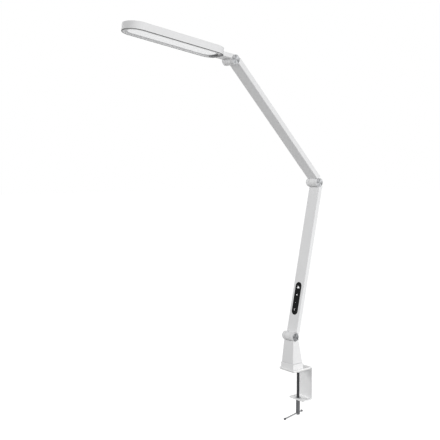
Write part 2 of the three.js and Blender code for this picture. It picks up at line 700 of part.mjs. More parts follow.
function towerShell() {
  const hinge = HINGE_HEIGHT - TOWER_FOOT;
  const top = hinge - TOWER_HEAD_DROP;
  const outer = loft(towerOutline(0, 0), 0, towerOutline(top, 0), top);
  const cavity = loft(
    towerOutline(-OVERRUN, TOWER_WALL),
    -OVERRUN,
    towerOutline(TOWER_CAVITY_HEIGHT, TOWER_WALL),
    TOWER_CAVITY_HEIGHT,
  );
  const lift = [HINGE_SETBACK, 0, hinge];
  const ears = knuckles("fork", -TOWER_HEAD_BACK, TOWER_HEAD_FRONT, TOWER_HEAD_DROP + OVERRUN)
    .rotate([0, 180, 0])
    .translate(lift);
  const wireSpan = [TOWER_CAVITY_HEIGHT - OVERRUN, hinge];
  const wireHole = rod("z", WIRE_CHANNEL_RADIUS, ...wireSpan, [HINGE_SETBACK, 0], SMALL);
  const bore = TOWER_SCREW_RADIUS + SLIP;
  const boreSpan = [0, TOWER_SCREW_LENGTH + OVERRUN];
  const screwHoles = [-1, 1].map((side) =>
    rod("z", bore, ...boreSpan, [0, side * TOWER_SCREW_SPREAD], SMALL),
  );
  const hollow = cut(outer, cavity, saddle().translate(lift));
  const whole = join(hollow, towerBosses().intersect(outer), ears);
  return cut(whole, hingeBores().translate(lift), wireHole, ...screwHoles, inletSolid(SLIP));
}

function towerFloor() {
  const plate = loft(
    towerOutline(0, TOWER_WALL + SLIP),
    0,
    towerOutline(TOWER_FLOOR, TOWER_WALL + SLIP),
    TOWER_FLOOR,
  );
  const bolt = rod("z", SWIVEL_RADIUS + SLIP, -OVERRUN, TOWER_FLOOR + OVERRUN);
  const screws = [-1, 1].map((side) => towerScrewSolid(side, SLIP));
  return cut(plate, bolt, ...screws);
}

/** A screw up through the tower's floor into a pillar, grown by a clearance for its hole. */
function towerScrewSolid(side, growth) {
  const centre = [0, side * TOWER_SCREW_SPREAD];
  const base = TOWER_SCREW_SINK - growth;
  const seat = TOWER_SCREW_SINK + TOWER_SCREW_HEAD_HEIGHT + growth;
  return join(
    rod("z", TOWER_SCREW_RADIUS + growth, base, TOWER_SCREW_LENGTH, centre, SMALL),
    rod("z", TOWER_SCREW_HEAD_RADIUS + growth, base, seat, centre, SMALL),
  );
}

/** Where the tower's back face is, at the height of the inlet. */
const INLET_FACE = Math.max(...towerOutline(INLET_HEIGHT, 0).map((p) => p.x));

/** The inlet's round body, grown by a clearance for its hole. */
function inletSolid(growth) {
  const outside = INLET_FACE + INLET_STANDOUT;
  const span = [outside - INLET_LENGTH, outside + growth];
  return rod("x", INLET_RADIUS + growth, ...span, [0, INLET_HEIGHT]);
}

/** The power inlet, a bought-in socket with its centre pin. */
function powerInlet() {
  const outside = INLET_FACE + INLET_STANDOUT;
  const at = [0, INLET_HEIGHT];
  const bottom = outside - INLET_BORE_DEPTH;
  const socket = rod("x", INLET_BORE_RADIUS, bottom, outside + OVERRUN, at, SMALL);
  const pin = rod("x", INLET_PIN_RADIUS, bottom - LAP, outside - INLET_PIN_SINK, at, SMALL);
  return join(cut(inletSolid(0), socket), pin);
}

function tower() {
  const group = frame([SWIVEL_X, 0, TOWER_FOOT]);
  group.add(
    piece("tower_shell", towerShell(), "paint"),
    piece("tower_floor", towerFloor(), "fitting"),
    piece("tower_floor_screw_right", towerScrewSolid(-1, 0), "steel"),
    piece("tower_floor_screw_left", towerScrewSolid(1, 0), "steel"),
    piece("power_inlet", powerInlet(), "blackGloss"),
  );
  const hinge = frame([HINGE_SETBACK, 0, HINGE_HEIGHT - TOWER_FOOT]);
  addHingeHardware(hinge, "base_hinge");
  group.add(hinge);
  return group;
}

// ---------- Arms ----------

/** The arm's section, drawn in by a margin. */
function armOutline(margin = 0) {
  const half = ARM_WIDTH / 2 - margin;
  const lower = ARM_OFFSET + margin;
  const upper = ARM_OFFSET + ARM_THICKNESS - margin;
  return rectangle(lower, upper, -half, half, Math.max(ARM_CORNER - margin, 0.4));
}

/** A screw through the tube's upper face into the fitting's plug, grown for its hole. */
function armScrewSolid(reach, growth) {
  const face = ARM_OFFSET + ARM_THICKNESS;
  const seat = face + SLIP / 2;
  const centre = [0, reach + PLUG_LENGTH / 2];
  return join(
    rod("x", ARM_SCREW_RADIUS + growth, face - ARM_SCREW_LENGTH - growth, seat + LAP, centre, SMALL),
    rod("x", ARM_SCREW_HEAD_RADIUS, seat, seat + ARM_SCREW_HEAD_HEIGHT, centre, SMALL),
  );
}

/** A hinge half with a plug that fits into the arm's tube, which starts at `reach`. */
function armFitting(kind, reach) {
  const block = prism("z", armOutline(), SADDLE_START, reach);
  const end = reach + PLUG_LENGTH;
  const plug = prism("z", armOutline(ARM_WALL + SLIP), reach - LAP, end);
  const web = [ARM_OFFSET, ARM_OFFSET + ARM_THICKNESS, SADDLE_RADIUS + OVERRUN];
  const shaped = join(cut(block, saddle()), plug, knuckles(kind, ...web));
  const span = [KNUCKLE_RADIUS - OVERRUN, end + OVERRUN];
  const channel = rod("z", WIRE_CHANNEL_RADIUS, ...span, [ARM_MIDDLE, 0], SMALL);
  return cut(shaped, hingeBores(), channel, armScrewSolid(reach, SLIP));
}

/** Sets what was made for an arm's lower end at its upper end. */
const atUpperEnd = (solid, length) => solid.rotate([180, 0, 0]).translate([0, 0, length]);

/** A rectangular tube between two stations along the arm, with its screw holes. */
function armTube(lowerReach, upperReach, length) {
  const from = lowerReach;
  const to = length - upperReach;
  const hollow = cut(
    prism("z", armOutline(), from, to),
    prism("z", armOutline(ARM_WALL), from - OVERRUN, to + OVERRUN),
  );
  return cut(
    hollow,
    armScrewSolid(lowerReach, SLIP),
    atUpperEnd(armScrewSolid(upperReach, SLIP), length),
  );
}

/** The touch panel's outline, grown by a clearance for its window. */
const panelOutline = (growth) =>
  stadium(
    PANEL_WIDTH / 2 + growth,
    PANEL_CENTRE - PANEL_LENGTH / 2 - growth,
    PANEL_CENTRE + PANEL_LENGTH / 2 + growth,
    PANEL_STEPS,
  );

const PANEL_BACK = ARM_OFFSET - PANEL_STANDOUT + PANEL_THICKNESS;
const BOARD_FRONT = Math.max(PANEL_BACK, ARM_OFFSET + ARM_WALL) + WASHER_PLAY;

/** The two pegs behind the touch panel, grown by a clearance for the board's holes. */
function panelPegs(growth) {
  const span = [PANEL_BACK - LAP, BOARD_FRONT + BOARD_PEG_LENGTH + growth];
  const pegs = [-1, 1].map((side) => {
    const centre = [0, PANEL_CENTRE + side * BOARD_PEG_SPREAD];
    return rod("x", BOARD_PEG_RADIUS + growth, ...span, centre, SMALL);
  });
  return join(...pegs);
}

function touchPanel() {
  const plate = prism("x", panelOutline(0), ARM_OFFSET - PANEL_STANDOUT, PANEL_BACK);
  return join(plate, panelPegs(0));
}

function controlBoard() {
  const corners = rectangle(
    -BOARD_WIDTH / 2,
    BOARD_WIDTH / 2,
    PANEL_CENTRE - BOARD_LENGTH / 2,
    PANEL_CENTRE + BOARD_LENGTH / 2,
    BOARD_CORNER,
  );
  const plate = prism("x", corners, BOARD_FRONT, BOARD_FRONT + BOARD_THICKNESS);
  return cut(plate, panelPegs(SLIP));
}

function lowerArm() {
  const group = frame([SWIVEL_X + HINGE_SETBACK, 0, HINGE_HEIGHT], LOWER_ARM_LEAN);
  const reach = [FOOT_FITTING_REACH, FITTING_REACH, LOWER_ARM_LENGTH];
  const wall = [ARM_OFFSET - OVERRUN, ARM_OFFSET + ARM_WALL + OVERRUN];
  const window = prism("x", panelOutline(SLIP), ...wall);
  const elbowFork = atUpperEnd(armFitting("fork", FITTING_REACH), LOWER_ARM_LENGTH);
  const elbowScrew = atUpperEnd(armScrewSolid(FITTING_REACH, 0), LOWER_ARM_LENGTH);
  group.add(
    piece("lower_arm_tube", cut(armTube(...reach), window), "paint"),
    piece("lower_arm_foot_fitting", armFitting("tongue", FOOT_FITTING_REACH), "fitting"),
    piece("lower_arm_elbow_fitting", elbowFork, "fitting"),
    piece("lower_arm_foot_screw", armScrewSolid(FOOT_FITTING_REACH, 0), "steel"),
    piece("lower_arm_elbow_screw", elbowScrew, "steel"),
    piece("touch_panel", touchPanel(), "blackGloss"),
    piece("control_board", controlBoard(), "circuit"),
  );
  const elbow = frame([0, 0, LOWER_ARM_LENGTH]);
  addHingeHardware(elbow, "elbow");
  group.add(elbow);
  return { group, elbow };
}

function upperArm() {
  const group = frame([0, 0, 0], UPPER_ARM_LEAN - LOWER_ARM_LEAN);
  const reach = [FITTING_REACH, FITTING_REACH, UPPER_ARM_LENGTH];
  const headTongue = atUpperEnd(armFitting("tongue", FITTING_REACH), UPPER_ARM_LENGTH);
  const headScrew = atUpperEnd(armScrewSolid(FITTING_REACH, 0), UPPER_ARM_LENGTH);
  group.add(
    piece("upper_arm_tube", armTube(...reach), "paint"),
    piece("upper_arm_elbow_fitting", armFitting("tongue", FITTING_REACH), "fitting"),
    piece("upper_arm_head_fitting", headTongue, "fitting"),
    piece("upper_arm_elbow_screw", armScrewSolid(FITTING_REACH, 0), "steel"),
    piece("upper_arm_head_screw", headScrew, "steel"),
  );
  return group;
}

// ---------- Neck ----------

const ROLL_NUT_END = ROLL_NUT_START + ROLL_NUT_HEIGHT;
const ROLL_WASHER_START = ROLL_NUT_END + WASHER_PLAY;
const ROLL_WASHER_END = ROLL_WASHER_START + ROLL_WASHER_THICKNESS;
const POCKET_END = ROLL_WASHER_END + WASHER_PLAY;

function neckSolid() {
  const upper = NECK_LOWER + NECK_THICKNESS;
  const half = NECK_WIDTH / 2;
  const corners = rectangle(NECK_LOWER, upper, -half, half, NECK_CORNER);
  const block = cut(prism("z", corners, SADDLE_START, NECK_LENGTH), saddle());
  const shaped = join(block, knuckles("fork", NECK_LOWER, upper, SADDLE_RADIUS + OVERRUN));
  const middle = [NECK_MIDDLE, 0];
  const pocketRadius = ROLL_NUT_RADIUS + SLIP;
  const pocket = rod("z", pocketRadius, SADDLE_START, POCKET_END, middle, SMALL);
  const bore = rod("z", SPINDLE_RADIUS + SLIP, SADDLE_START, NECK_LENGTH + OVERRUN, middle, SMALL);
  return cut(shaped, hingeBores(), pocket, bore);
}

function neck() {
  const group = frame([0, 0, UPPER_ARM_LENGTH], HEAD_LEAN - UPPER_ARM_LEAN);
  addHingeHardware(group, "head_hinge");
  group.add(piece("neck", neckSolid(), "fitting"));
  return group;
}

// ---------- Lamp head ----------

/** How much the flat face by the neck takes off the head's near round end. */
const END_FLAT_DEPTH = (HEAD_WIDTH - Math.sqrt(HEAD_WIDTH ** 2 - HEAD_FLAT_WIDTH ** 2)) / 2;
/** Where the near round end's tip would be without that flat. */
const NEAR_TIP = HEAD_START - END_FLAT_DEPTH;
const END_WALL_INSIDE = HEAD_START + HOUSING_END_WALL;
const BORDER_LOWER = HEAD_LOWER + RECESS_DEPTH;
const BORDER_UPPER = BORDER_LOWER + BORDER_THICKNESS;

/** The head's outline, drawn in by a margin, as a prism from one height to another. */
function headBlock(margin, flatEnd, from, to) {
  const half = HEAD_WIDTH / 2 - margin;
  const points = stadium(half, NEAR_TIP + margin, HEAD_FAR_END - margin, HEAD_STEPS);
  const round = prism("x", points, from, to);
  const beyond = box([from - OVERRUN, -HEAD_WIDTH, 0], [to + OVERRUN, HEAD_WIDTH, flatEnd]);
  return cut(round, beyond);
}

/** The recess's outline, drawn in by an inset, as a prism from one height to another. */
function recessBlock(inset, from, to) {
  const half = HEAD_WIDTH / 2 - RIM_WIDTH - inset;
  const points = stadium(half, RECESS_START + inset, HEAD_FAR_END - RIM_WIDTH - inset, WINDOW_STEPS);
  return prism("x", points, from, to);
}

function housing() {
  const top = HEAD_LOWER + HEAD_THICKNESS;
  const outer = headBlock(0, HEAD_START, HEAD_LOWER, top);
  const inner = headBlock(HOUSING_WALL, END_WALL_INSIDE, HEAD_LOWER - OVERRUN, top - HOUSING_WALL);
  const reach = [HEAD_START - OVERRUN, END_WALL_INSIDE + OVERRUN];
  const bearing = rod("z", SPINDLE_RADIUS + SLIP, ...reach, [0, 0], SMALL);
  return cut(outer, inner, bearing);
}

function bezel() {
  const margin = HOUSING_WALL + SLIP;
  const plate = headBlock(margin, END_WALL_INSIDE + SLIP, HEAD_LOWER, BORDER_UPPER);
  const edge = HEAD_WIDTH / 2 - margin;
  const tabs = BEZEL_TAB_PLACES.flatMap((place) =>
    [-1, 1].map((side) => {
      const walls = [side * edge, side * (edge - BEZEL_TAB_THICKNESS)];
      return box(
        [BORDER_UPPER - LAP, Math.min(...walls), place - BEZEL_TAB_LENGTH / 2],
        [BORDER_UPPER + BEZEL_TAB_HEIGHT, Math.max(...walls), place + BEZEL_TAB_LENGTH / 2],
      );
    }),
  );
  const recess = recessBlock(0, HEAD_LOWER - OVERRUN, BORDER_LOWER);
  const window = recessBlock(BORDER_WIDTH, HEAD_LOWER, BORDER_UPPER + OVERRUN);
  return join(cut(plate, recess, window), ...tabs);
}

const FLANGE_LOWER = BORDER_UPPER + WASHER_PLAY;
const FLANGE_UPPER = FLANGE_LOWER + DIFFUSER_FLANGE;

/** The diffuser: a flange over the window, and a pad that fills the window flush with its border. */
function diffuser() {
  return join(
    recessBlock(BORDER_WIDTH - DIFFUSER_LAP, FLANGE_LOWER, FLANGE_UPPER),
    recessBlock(BORDER_WIDTH + SLIP, BORDER_LOWER, FLANGE_LOWER + LAP),
  );
}

/** A plain plate over the window, with a chosen width and margin at the ends. */
function headPlate(width, margin, from, to) {
  const start = RECESS_START + BORDER_WIDTH - margin;
  const end = HEAD_FAR_END - RIM_WIDTH - BORDER_WIDTH + margin;
  const points = rectangle(-width / 2, width / 2, start, end, HEAD_PLATE_CORNER);
  return prism("x", points, from, to);
}

/** The hollow spindle that the head rolls on, and its washer and nut inside the neck. */
function addRollSpindle(group) {
  const middle = [0, 0];
  const bore = SPINDLE_RADIUS + SLIP;
  const start = ROLL_NUT_START - SPINDLE_TAIL;
  const radii = [SPINDLE_RADIUS, SPINDLE_BORE_RADIUS];
  const spindle = ring("z", ...radii, start, END_WALL_INSIDE, middle, SMALL);
  const washerRadii = [ROLL_NUT_RADIUS, bore];
  const washer = ring("z", ...washerRadii, ROLL_WASHER_START, ROLL_WASHER_END, middle, SMALL);
  const nut = cut(
    rod("z", ROLL_NUT_RADIUS, ROLL_NUT_START, ROLL_NUT_END, middle, 6),
    rod("z", bore, ROLL_NUT_START - OVERRUN, ROLL_NUT_END + OVERRUN, middle, SMALL),
  );
  group.add(
    piece("roll_spindle", spindle, "steel"),
    piece("roll_washer", washer, "steel"),
    piece("roll_nut", nut, "steel"),
  );
}

function lampHead() {
  const group = frame([NECK_MIDDLE, 0, 0]);
  const ceiling = HEAD_LOWER + HEAD_THICKNESS - HOUSING_WALL;
  const heatTop = ceiling - SLIP;
  const heatLower = heatTop - HEAT_PLATE_THICKNESS;
  const boardTop = heatLower - SLIP;
  const boardLower = boardTop - LED_BOARD_THICKNESS;
  const inset = BORDER_WIDTH - DIFFUSER_LAP;
  const reflector = cut(
    recessBlock(inset, FLANGE_UPPER + SLIP, boardLower - SLIP),
    recessBlock(inset + REFLECTOR_WALL, FLANGE_UPPER, boardLower),
  );
  const board = headPlate(LED_BOARD_WIDTH, 0, boardLower, boardTop);
  const heatPlate = headPlate(HEAT_PLATE_WIDTH, HEAT_PLATE_MARGIN, heatLower, heatTop);
  group.add(
    piece("head_housing", housing(), "paint"),
    piece("head_bezel", bezel(), "paint"),
    piece("diffuser", diffuser(), "opal"),
    piece("reflector", reflector, "nylon"),
    piece("led_board", board, "circuit"),
    piece("heat_plate", heatPlate, "aluminium"),
  );
  addRollSpindle(group);
  return group;
}

// ---------- Assembly ----------

const lamp = new THREE.Group();
lamp.name = "swing_arm_desk_lamp";
const arm = lowerArm();
const foreArm = upperArm();
const wrist = neck();
wrist.add(lampHead());
foreArm.add(wrist);
arm.elbow.add(foreArm);
lamp.add(deskClamp(), pressureFoot(), clampScrew(), tower(), arm.group);

export default lamp;
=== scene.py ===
"""Dresses a clamp-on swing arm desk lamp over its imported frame.

The lamp is a bent steel desk clamp with a screw, a plinth and a tapered tower that swivels on it, two flat
tube arms joined by friction hinges, a flat neck and a long round-ended lamp head. Sizes are in metres.
Every member has its own frame: its lower hinge at the origin, Z along it, X through it, Y the hinge's axis.
"""

import json
import logging
import math
from collections.abc import Callable, Iterable, Mapping, Sequence
from dataclasses import dataclass
from enum import Enum
from functools import cache
from typing import Self

import bmesh
import bpy
from mathutils import Matrix, Vector


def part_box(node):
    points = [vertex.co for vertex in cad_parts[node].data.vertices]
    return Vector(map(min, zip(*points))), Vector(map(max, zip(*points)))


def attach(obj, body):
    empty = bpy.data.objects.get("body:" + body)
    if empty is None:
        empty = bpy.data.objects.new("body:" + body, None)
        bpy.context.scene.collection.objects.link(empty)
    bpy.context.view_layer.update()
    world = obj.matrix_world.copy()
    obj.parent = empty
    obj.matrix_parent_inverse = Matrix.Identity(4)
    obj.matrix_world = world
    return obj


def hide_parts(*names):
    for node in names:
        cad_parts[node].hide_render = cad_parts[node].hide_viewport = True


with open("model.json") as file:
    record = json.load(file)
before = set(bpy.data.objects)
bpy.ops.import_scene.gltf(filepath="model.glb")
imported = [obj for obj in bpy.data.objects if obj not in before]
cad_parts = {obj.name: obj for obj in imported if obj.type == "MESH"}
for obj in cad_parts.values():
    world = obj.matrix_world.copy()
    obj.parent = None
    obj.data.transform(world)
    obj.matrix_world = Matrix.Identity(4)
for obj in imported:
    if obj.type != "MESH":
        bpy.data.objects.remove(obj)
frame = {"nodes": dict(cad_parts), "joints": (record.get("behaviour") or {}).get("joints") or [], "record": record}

LOG = logging.getLogger("lamp")
MM = 0.001
NEAR = 0.02 * MM

Colour = tuple[float, float, float]
Point = tuple[float, float, float]
Socket = bpy.types.NodeSocket
Feed = Socket | float | tuple[float, ...]
Feeds = Mapping[str | int, Feed]
Names = tuple[str, ...]
Eased = tuple[tuple[str, float], ...]


class Side(Enum):
    """Which end of a hinge's pin, seen from in front of the head: right is towards -Y."""

    RIGHT = -1
    LEFT = 1


class Pick(Enum):
    """What edit mode selects."""

    VERTS = "VERT"
    EDGES = "EDGE"
    FACES = "FACE"


# ---------- The frame's own facts ----------


def joint(name: str) -> dict:
    """A joint of the frame."""
    return next(j for j in frame["joints"] if j["name"] == name)


def joint_point(name: str) -> Vector:
    """The point that a joint of the frame turns about, in metres."""
    return Vector(joint(name)["pos_m"])


def body_of_node(node: str) -> str:
    """The body that a node of the frame belongs to."""
    bodies = frame["record"]["behaviour"]["bodies"]
    return next(body for body, nodes in bodies.items() if node in nodes)


def slot_of_node(node: str) -> str:
    """The material slot that the record gives a node."""
    return next(part["material_slot"] for part in frame["record"]["subparts"] if part["node"] == node)


def both(name: str) -> Names:
    """The names of the two nodes that share a name, one for each side."""
    return tuple(f"{name}_{side.name.lower()}" for side in Side)


def stand(origin: Vector | Point, lean: float = 0.0, turn: float = 0.0) -> Matrix:
    """The transform that turns a piece about Z, leans it towards +X and takes it to its place."""
    return Matrix.Translation(origin) @ Matrix.Rotation(lean, 4, "Y") @ Matrix.Rotation(turn, 4, "Z")


# ---------- The bench: operator calls that shape the pieces ----------


class Bench:
    """Shapes one mesh at a time with the modelling operators.

    Attributes:
        WELD: How near two points of a copied node must be to become one.
        FLAT: The largest turn between two faces that are one flat, in radians.
        CORNER: The smallest turn between two faces that counts as a sharp edge, in degrees.
        RIM: The smallest turn at the rim of a flat, in radians.
        SAME_WAY: The smallest cosine between two directions that are the same.
    """

    WELD = 0.002 * MM
    FLAT = math.radians(0.6)
    CORNER = 42.0
    RIM = math.radians(40)
    SAME_WAY = 0.999

    def __init__(self, piece: bpy.types.Object) -> None:
        """Takes a mesh object onto the bench."""
        self.piece = piece

    @staticmethod
    def clear() -> None:
        """Leaves object mode with nothing selected."""
        if bpy.context.mode != "OBJECT":
            bpy.ops.object.mode_set(mode="OBJECT")
        bpy.ops.object.select_all(action="DESELECT")

    @classmethod
    def start(cls, name: str) -> Self:
        """Takes the primitive that was just added, with its place set into its mesh.

        Args:
            name: The piece's name.

        Returns:
            A bench that holds it.
        """
        piece = bpy.context.active_object
        piece.name = piece.data.name = name
        bpy.ops.object.transform_apply(location=True, rotation=True, scale=True)
        return cls(piece)

    @classmethod
    def rod(cls, name: str, radius: float, low: Point, high: Point, sides: int = 48) -> Self:
        """Adds a round bar between two points.

        Args:
            name: The piece's name.
            radius: The bar's radius.
            low: The middle of one end.
            high: The middle of the other end.
            sides: How many sides it has.

        Returns:
            A bench that holds it.
        """
        cls.clear()
        span = Vector(high) - Vector(low)
        bpy.ops.mesh.primitive_cylinder_add(
            vertices=sides,
            radius=radius,
            depth=span.length,
            location=(Vector(low) + Vector(high)) / 2,
            rotation=span.to_track_quat("Z", "Y").to_euler(),
        )
        return cls.start(name)

    @classmethod
    def block(cls, name: str, low: Point, high: Point) -> Self:
        """Adds a square block between two corners.

        Args:
            name: The piece's name.
            low: Its lowest corner.
            high: Its highest corner.

        Returns:
            A bench that holds it.
        """
        cls.clear()
        size = Vector(high) - Vector(low)
        bpy.ops.mesh.primitive_cube_add(size=1, location=(Vector(low) + Vector(high)) / 2, scale=size)
        return cls.start(name)

    @classmethod
    def copy_of(cls, node: str, name: str) -> Self:
        """Copies a node of the frame and welds the copy's loose triangles into whole faces.

        Args:
            node: The node to copy.
            name: The copy's name.

        Returns:
            A bench that holds the copy.
        """
        piece = bpy.data.objects.new(name, frame["nodes"][node].data.copy())
        piece.data.name = name
        bpy.context.scene.collection.objects.link(piece)
        bench = cls(piece).whole()
        bpy.ops.mesh.remove_doubles(threshold=cls.WELD)
        bpy.ops.mesh.dissolve_limited(angle_limit=cls.FLAT)
        cls.clear()
        return bench

    def twin(self, name: str) -> Self:
        """Copies the piece with a mesh of its own.

        Args:
            name: The copy's name.

        Returns:
            A bench that holds the copy.
        """
        twin = self.piece.copy()
        twin.data = self.piece.data.copy()
        twin.name = twin.data.name = name
        bpy.context.scene.collection.objects.link(twin)
        return type(self)(twin)

    def discard(self) -> None:
        """Throws the piece away."""
        bpy.data.meshes.remove(self.piece.data)

    def take(self) -> Self:
        """Leaves object mode with the piece alone selected and active.

        Returns:
            The same bench.
        """
        self.clear()
        self.piece.select_set(True)
        bpy.context.view_layer.objects.active = self.piece
        return self

    def edit(self, pick: Pick, test: Callable) -> Self:
        """Opens edit mode with the chosen elements selected.

        Args:
            pick: Which kind of element the test is given.
            test: Says of a bmesh vertex, edge or face whether it is selected.

        Returns:
            The same bench.
        """
        self.take()
        bpy.ops.object.mode_set(mode="EDIT")
        bpy.ops.mesh.select_mode(type=pick.value)
        bpy.ops.mesh.select_all(action="DESELECT")
        made = bmesh.from_edit_mesh(self.piece.data)
        for element in getattr(made, pick.name.lower()):
            element.select_set(bool(test(element)))
        made.select_flush_mode()
        bmesh.update_edit_mesh(self.piece.data)
        return self

    def whole(self) -> Self:
        """Opens edit mode with all of the piece selected."""
        return self.edit(Pick.VERTS, lambda _: True)

    def faces(self, normal: Point, at: float | None = None) -> Self:
        """Selects the faces that look one way.

        Args:
            normal: The way they look, one unit long.
            at: How far along that way their middles lie, or None for any distance.

        Returns:
            The same bench.
        """
        way = Vector(normal)

        def chosen(face: bmesh.types.BMFace) -> bool:
            """Whether a face looks the right way from the right place."""
            placed = at is None or abs(face.calc_center_median().dot(way) - at) < NEAR
            return placed and face.normal.dot(way) >= self.SAME_WAY

        return self.edit(Pick.FACES, chosen)

    def rim(self, normal: Point, at: float) -> Self:
        """Selects the edges around the flat that lies at one distance along a direction.

        Args:
            normal: The direction, one unit long.
            at: The distance.

        Returns:
            The same bench.
        """
        way = Vector(normal)

        def chosen(edge: bmesh.types.BMEdge) -> bool:
            """Whether an edge lies in the flat and turns a corner there."""
            level = all(abs(v.co.dot(way) - at) < NEAR for v in edge.verts)
            return level and edge.is_manifold and edge.calc_face_angle() > self.RIM

        return self.edit(Pick.EDGES, chosen)

    def inset(self, thickness: float, depth: float = 0.0) -> Self:
        """Insets the selected faces, and sinks or raises them by a depth."""
        bpy.ops.mesh.inset(thickness=thickness, depth=depth, use_even_offset=True)
        return self

    def extrude(self, step: Point) -> Self:
        """Extrudes the selected faces by a step."""
        bpy.ops.mesh.extrude_region_move(TRANSFORM_OT_translate={"value": step})
        return self

    def resize(self, factors: Point, centre: Point) -> Self:
        """Scales the selection about a point."""
        bpy.ops.transform.resize(value=factors, center_override=centre)
        return self

    def move(self, step: Point) -> Self:
        """Moves the selection by a step."""
        bpy.ops.transform.translate(value=step)
        return self

    def bevel(self, width: float, segments: int) -> Self:
        """Rounds the selected edges in a number of steps."""
        bpy.ops.mesh.bevel(offset=width, segments=segments, profile=0.5, clamp_overlap=True)
        return self

    def split(self, point: Point, normal: Point, **sides: bool) -> Self:
        """Cuts all of the piece along a plane.

        Args:
            point: A point of the plane.
            normal: The way that the plane looks.
            sides: Whether a side is cleared away, and whether the cut is filled.

        Returns:
            The same bench.
        """
        self.whole()
        bpy.ops.mesh.bisect(plane_co=point, plane_no=normal, **sides)
        self.clear()
        return self

    def modify(self, kind: str, **settings: object) -> Self:
        """Adds a modifier to the piece and applies it.

        Args:
            kind: The modifier's kind.
            settings: Its settings.

        Returns:
            The same bench.
        """
        self.take()
        modifier = self.piece.modifiers.new(kind.lower(), kind)
        for name, value in settings.items():
            setattr(modifier, name, value)
        bpy.ops.object.modifier_apply(modifier=modifier.name)
        return self

    def cut(self, tool: Self) -> Self:
        """Cuts another solid away and throws that solid away.

        Args:
            tool: The bench that holds the cutting solid.

        Returns:
            The same bench.
        """
        self.modify("BOOLEAN", operation="DIFFERENCE", solver="EXACT", object=tool.piece)
        tool.discard()
        return self

    def join(self, others: Iterable[Self]) -> Self:
        """Joins other meshes into this one as they stand.

        Args:
            others: The benches that hold them.

        Returns:
            The same bench.
        """
        self.take()
        for other in others:
            other.piece.select_set(True)
        bpy.ops.object.join()
        return self

    def ease(self, width: float) -> Self:
        """Breaks every sharp edge with a small round.

        Args:
            width: The round's width.

        Returns:
            The same bench.
        """
        corner = math.radians(self.CORNER)
        return self.modify("BEVEL", width=width, segments=2, limit_method="ANGLE", angle_limit=corner)

    def smooth(self, angle: float = CORNER) -> Self:
        """Smooths the shading across shallow corners and keeps the flats flat.

        Args:
            angle: The steepest turn that is smoothed, in degrees.

        Returns:
            The same bench.
        """
        self.take()
        bpy.ops.object.shade_smooth_by_angle(angle=math.radians(angle))
        return self.modify("WEIGHTED_NORMAL", keep_sharp=True, weight=90)

    def settle(self, place: Matrix) -> Self:
        """Sets a member's place into the mesh and leaves the object at the lamp's origin.

        Args:
            place: The transform from the member's own frame to the lamp's.

        Returns:
            The same bench.
        """
        self.take().piece.matrix_world = place
        bpy.ops.object.transform_apply(location=True, rotation=True, scale=True)
        return self


# ---------- Surface effects that several finishes share ----------


class Graph:
    """A node tree and the ways of adding to it."""

    def __init__(self, tree: bpy.types.NodeTree) -> None:
        """Takes the tree to add to."""
        self.tree = tree

    def feed(self, socket: Socket, value: Feed) -> None:
        """Links a socket to another one or sets its plain value.

        Args:
            socket: The socket that is fed.
            value: A socket, a number or three numbers.
        """
        if isinstance(value, Socket):
            self.tree.links.new(value, socket)
        else:
            socket.default_value = (*value, 1.0) if socket.type == "RGBA" else value

    def add(self, kind: str, feeds: Feeds | None = None, **settings: object) -> bpy.types.Node:
        """Adds a shader node.

        Args:
            kind: Its type, without the words that every type starts with.
            feeds: What goes into its inputs, by their names or numbers.
            settings: Its own settings.

        Returns:
            The node.
        """
        node = self.tree.nodes.new(f"ShaderNode{kind}")
        for name, value in settings.items():
            setattr(node, name, value)
        for key, value in (feeds or {}).items():
            self.feed(node.inputs[key], value)
        return node

    def maths(self, operation: str, *terms: Feed) -> Socket:
        """The result of a maths operation on sockets and numbers."""
        return self.add("Math", dict(enumerate(terms)), operation=operation).outputs[0]

    def noise(self, place: Socket, scale: Feed, detail: float) -> Socket:
        """A noise about 0.5, with its scale and how many finer layers it has."""
        feeds = {"Vector": place, "Scale": scale, "Detail": detail, "Roughness": 0.55}
        return self.add("TexNoise", feeds).outputs["Fac"]

    def between(self, mask: Socket, low: float, high: float) -> Socket:
        """A value that runs from low to high as a mask goes from 0 to 1."""
        return self.add("MapRange", {"Value": mask, "To Min": low, "To Max": high}).outputs["Result"]

    def ramp(self, mask: Socket, stops: Sequence[tuple[float, Colour]]) -> Socket:
        """A colour ramp over a mask.

        Args:
            mask: The mask.
            stops: Each stop's place and colour, in order.

        Returns:
            The colour.
        """
        node = self.add("ValToRGB", {"Fac": mask})
        elements = node.color_ramp.elements
        while len(elements) < len(stops):
            elements.new(0.5)
        for element, (position, colour) in zip(elements, stops):
            element.position = position
            element.color = (*colour, 1.0)
        return node.outputs["Color"]


class Effect:
    """A shader node group that is built once and placed in each material with its own values.

    Attributes:
        name: The group's name.
        values: The numbers that it takes beside a place, and their defaults.
        results: What it gives.
    """

    name: str
    values: Mapping[str, float]
    results: Names

    def tree(self) -> bpy.types.NodeTree:
        """The node group, built the first time that it is asked for.

        Returns:
            The group's tree.
        """
        made = bpy.data.node_groups.get(self.name)
        if made is None:
            made = bpy.data.node_groups.new(self.name, "ShaderNodeTree")
            made.interface.new_socket("Vector", in_out="INPUT", socket_type="NodeSocketVector")
            for name, default in self.values.items():
                socket = made.interface.new_socket(name, in_out="INPUT", socket_type="NodeSocketFloat")
                socket.default_value = default
            for name in self.results:
                made.interface.new_socket(name, in_out="OUTPUT", socket_type="NodeSocketFloat")
            given = made.nodes.new("NodeGroupInput").outputs
            result = made.nodes.new("NodeGroupOutput").inputs
            for name, socket in zip(self.results, self.wire(Graph(made), given)):
                made.links.new(socket, result[name])
        return made

    def wire(self, graph: Graph, given: Mapping[str, Socket]) -> tuple[Socket, ...]:
        """Adds the group's nodes, from what it is given to a socket for each of its results."""
        raise NotImplementedError


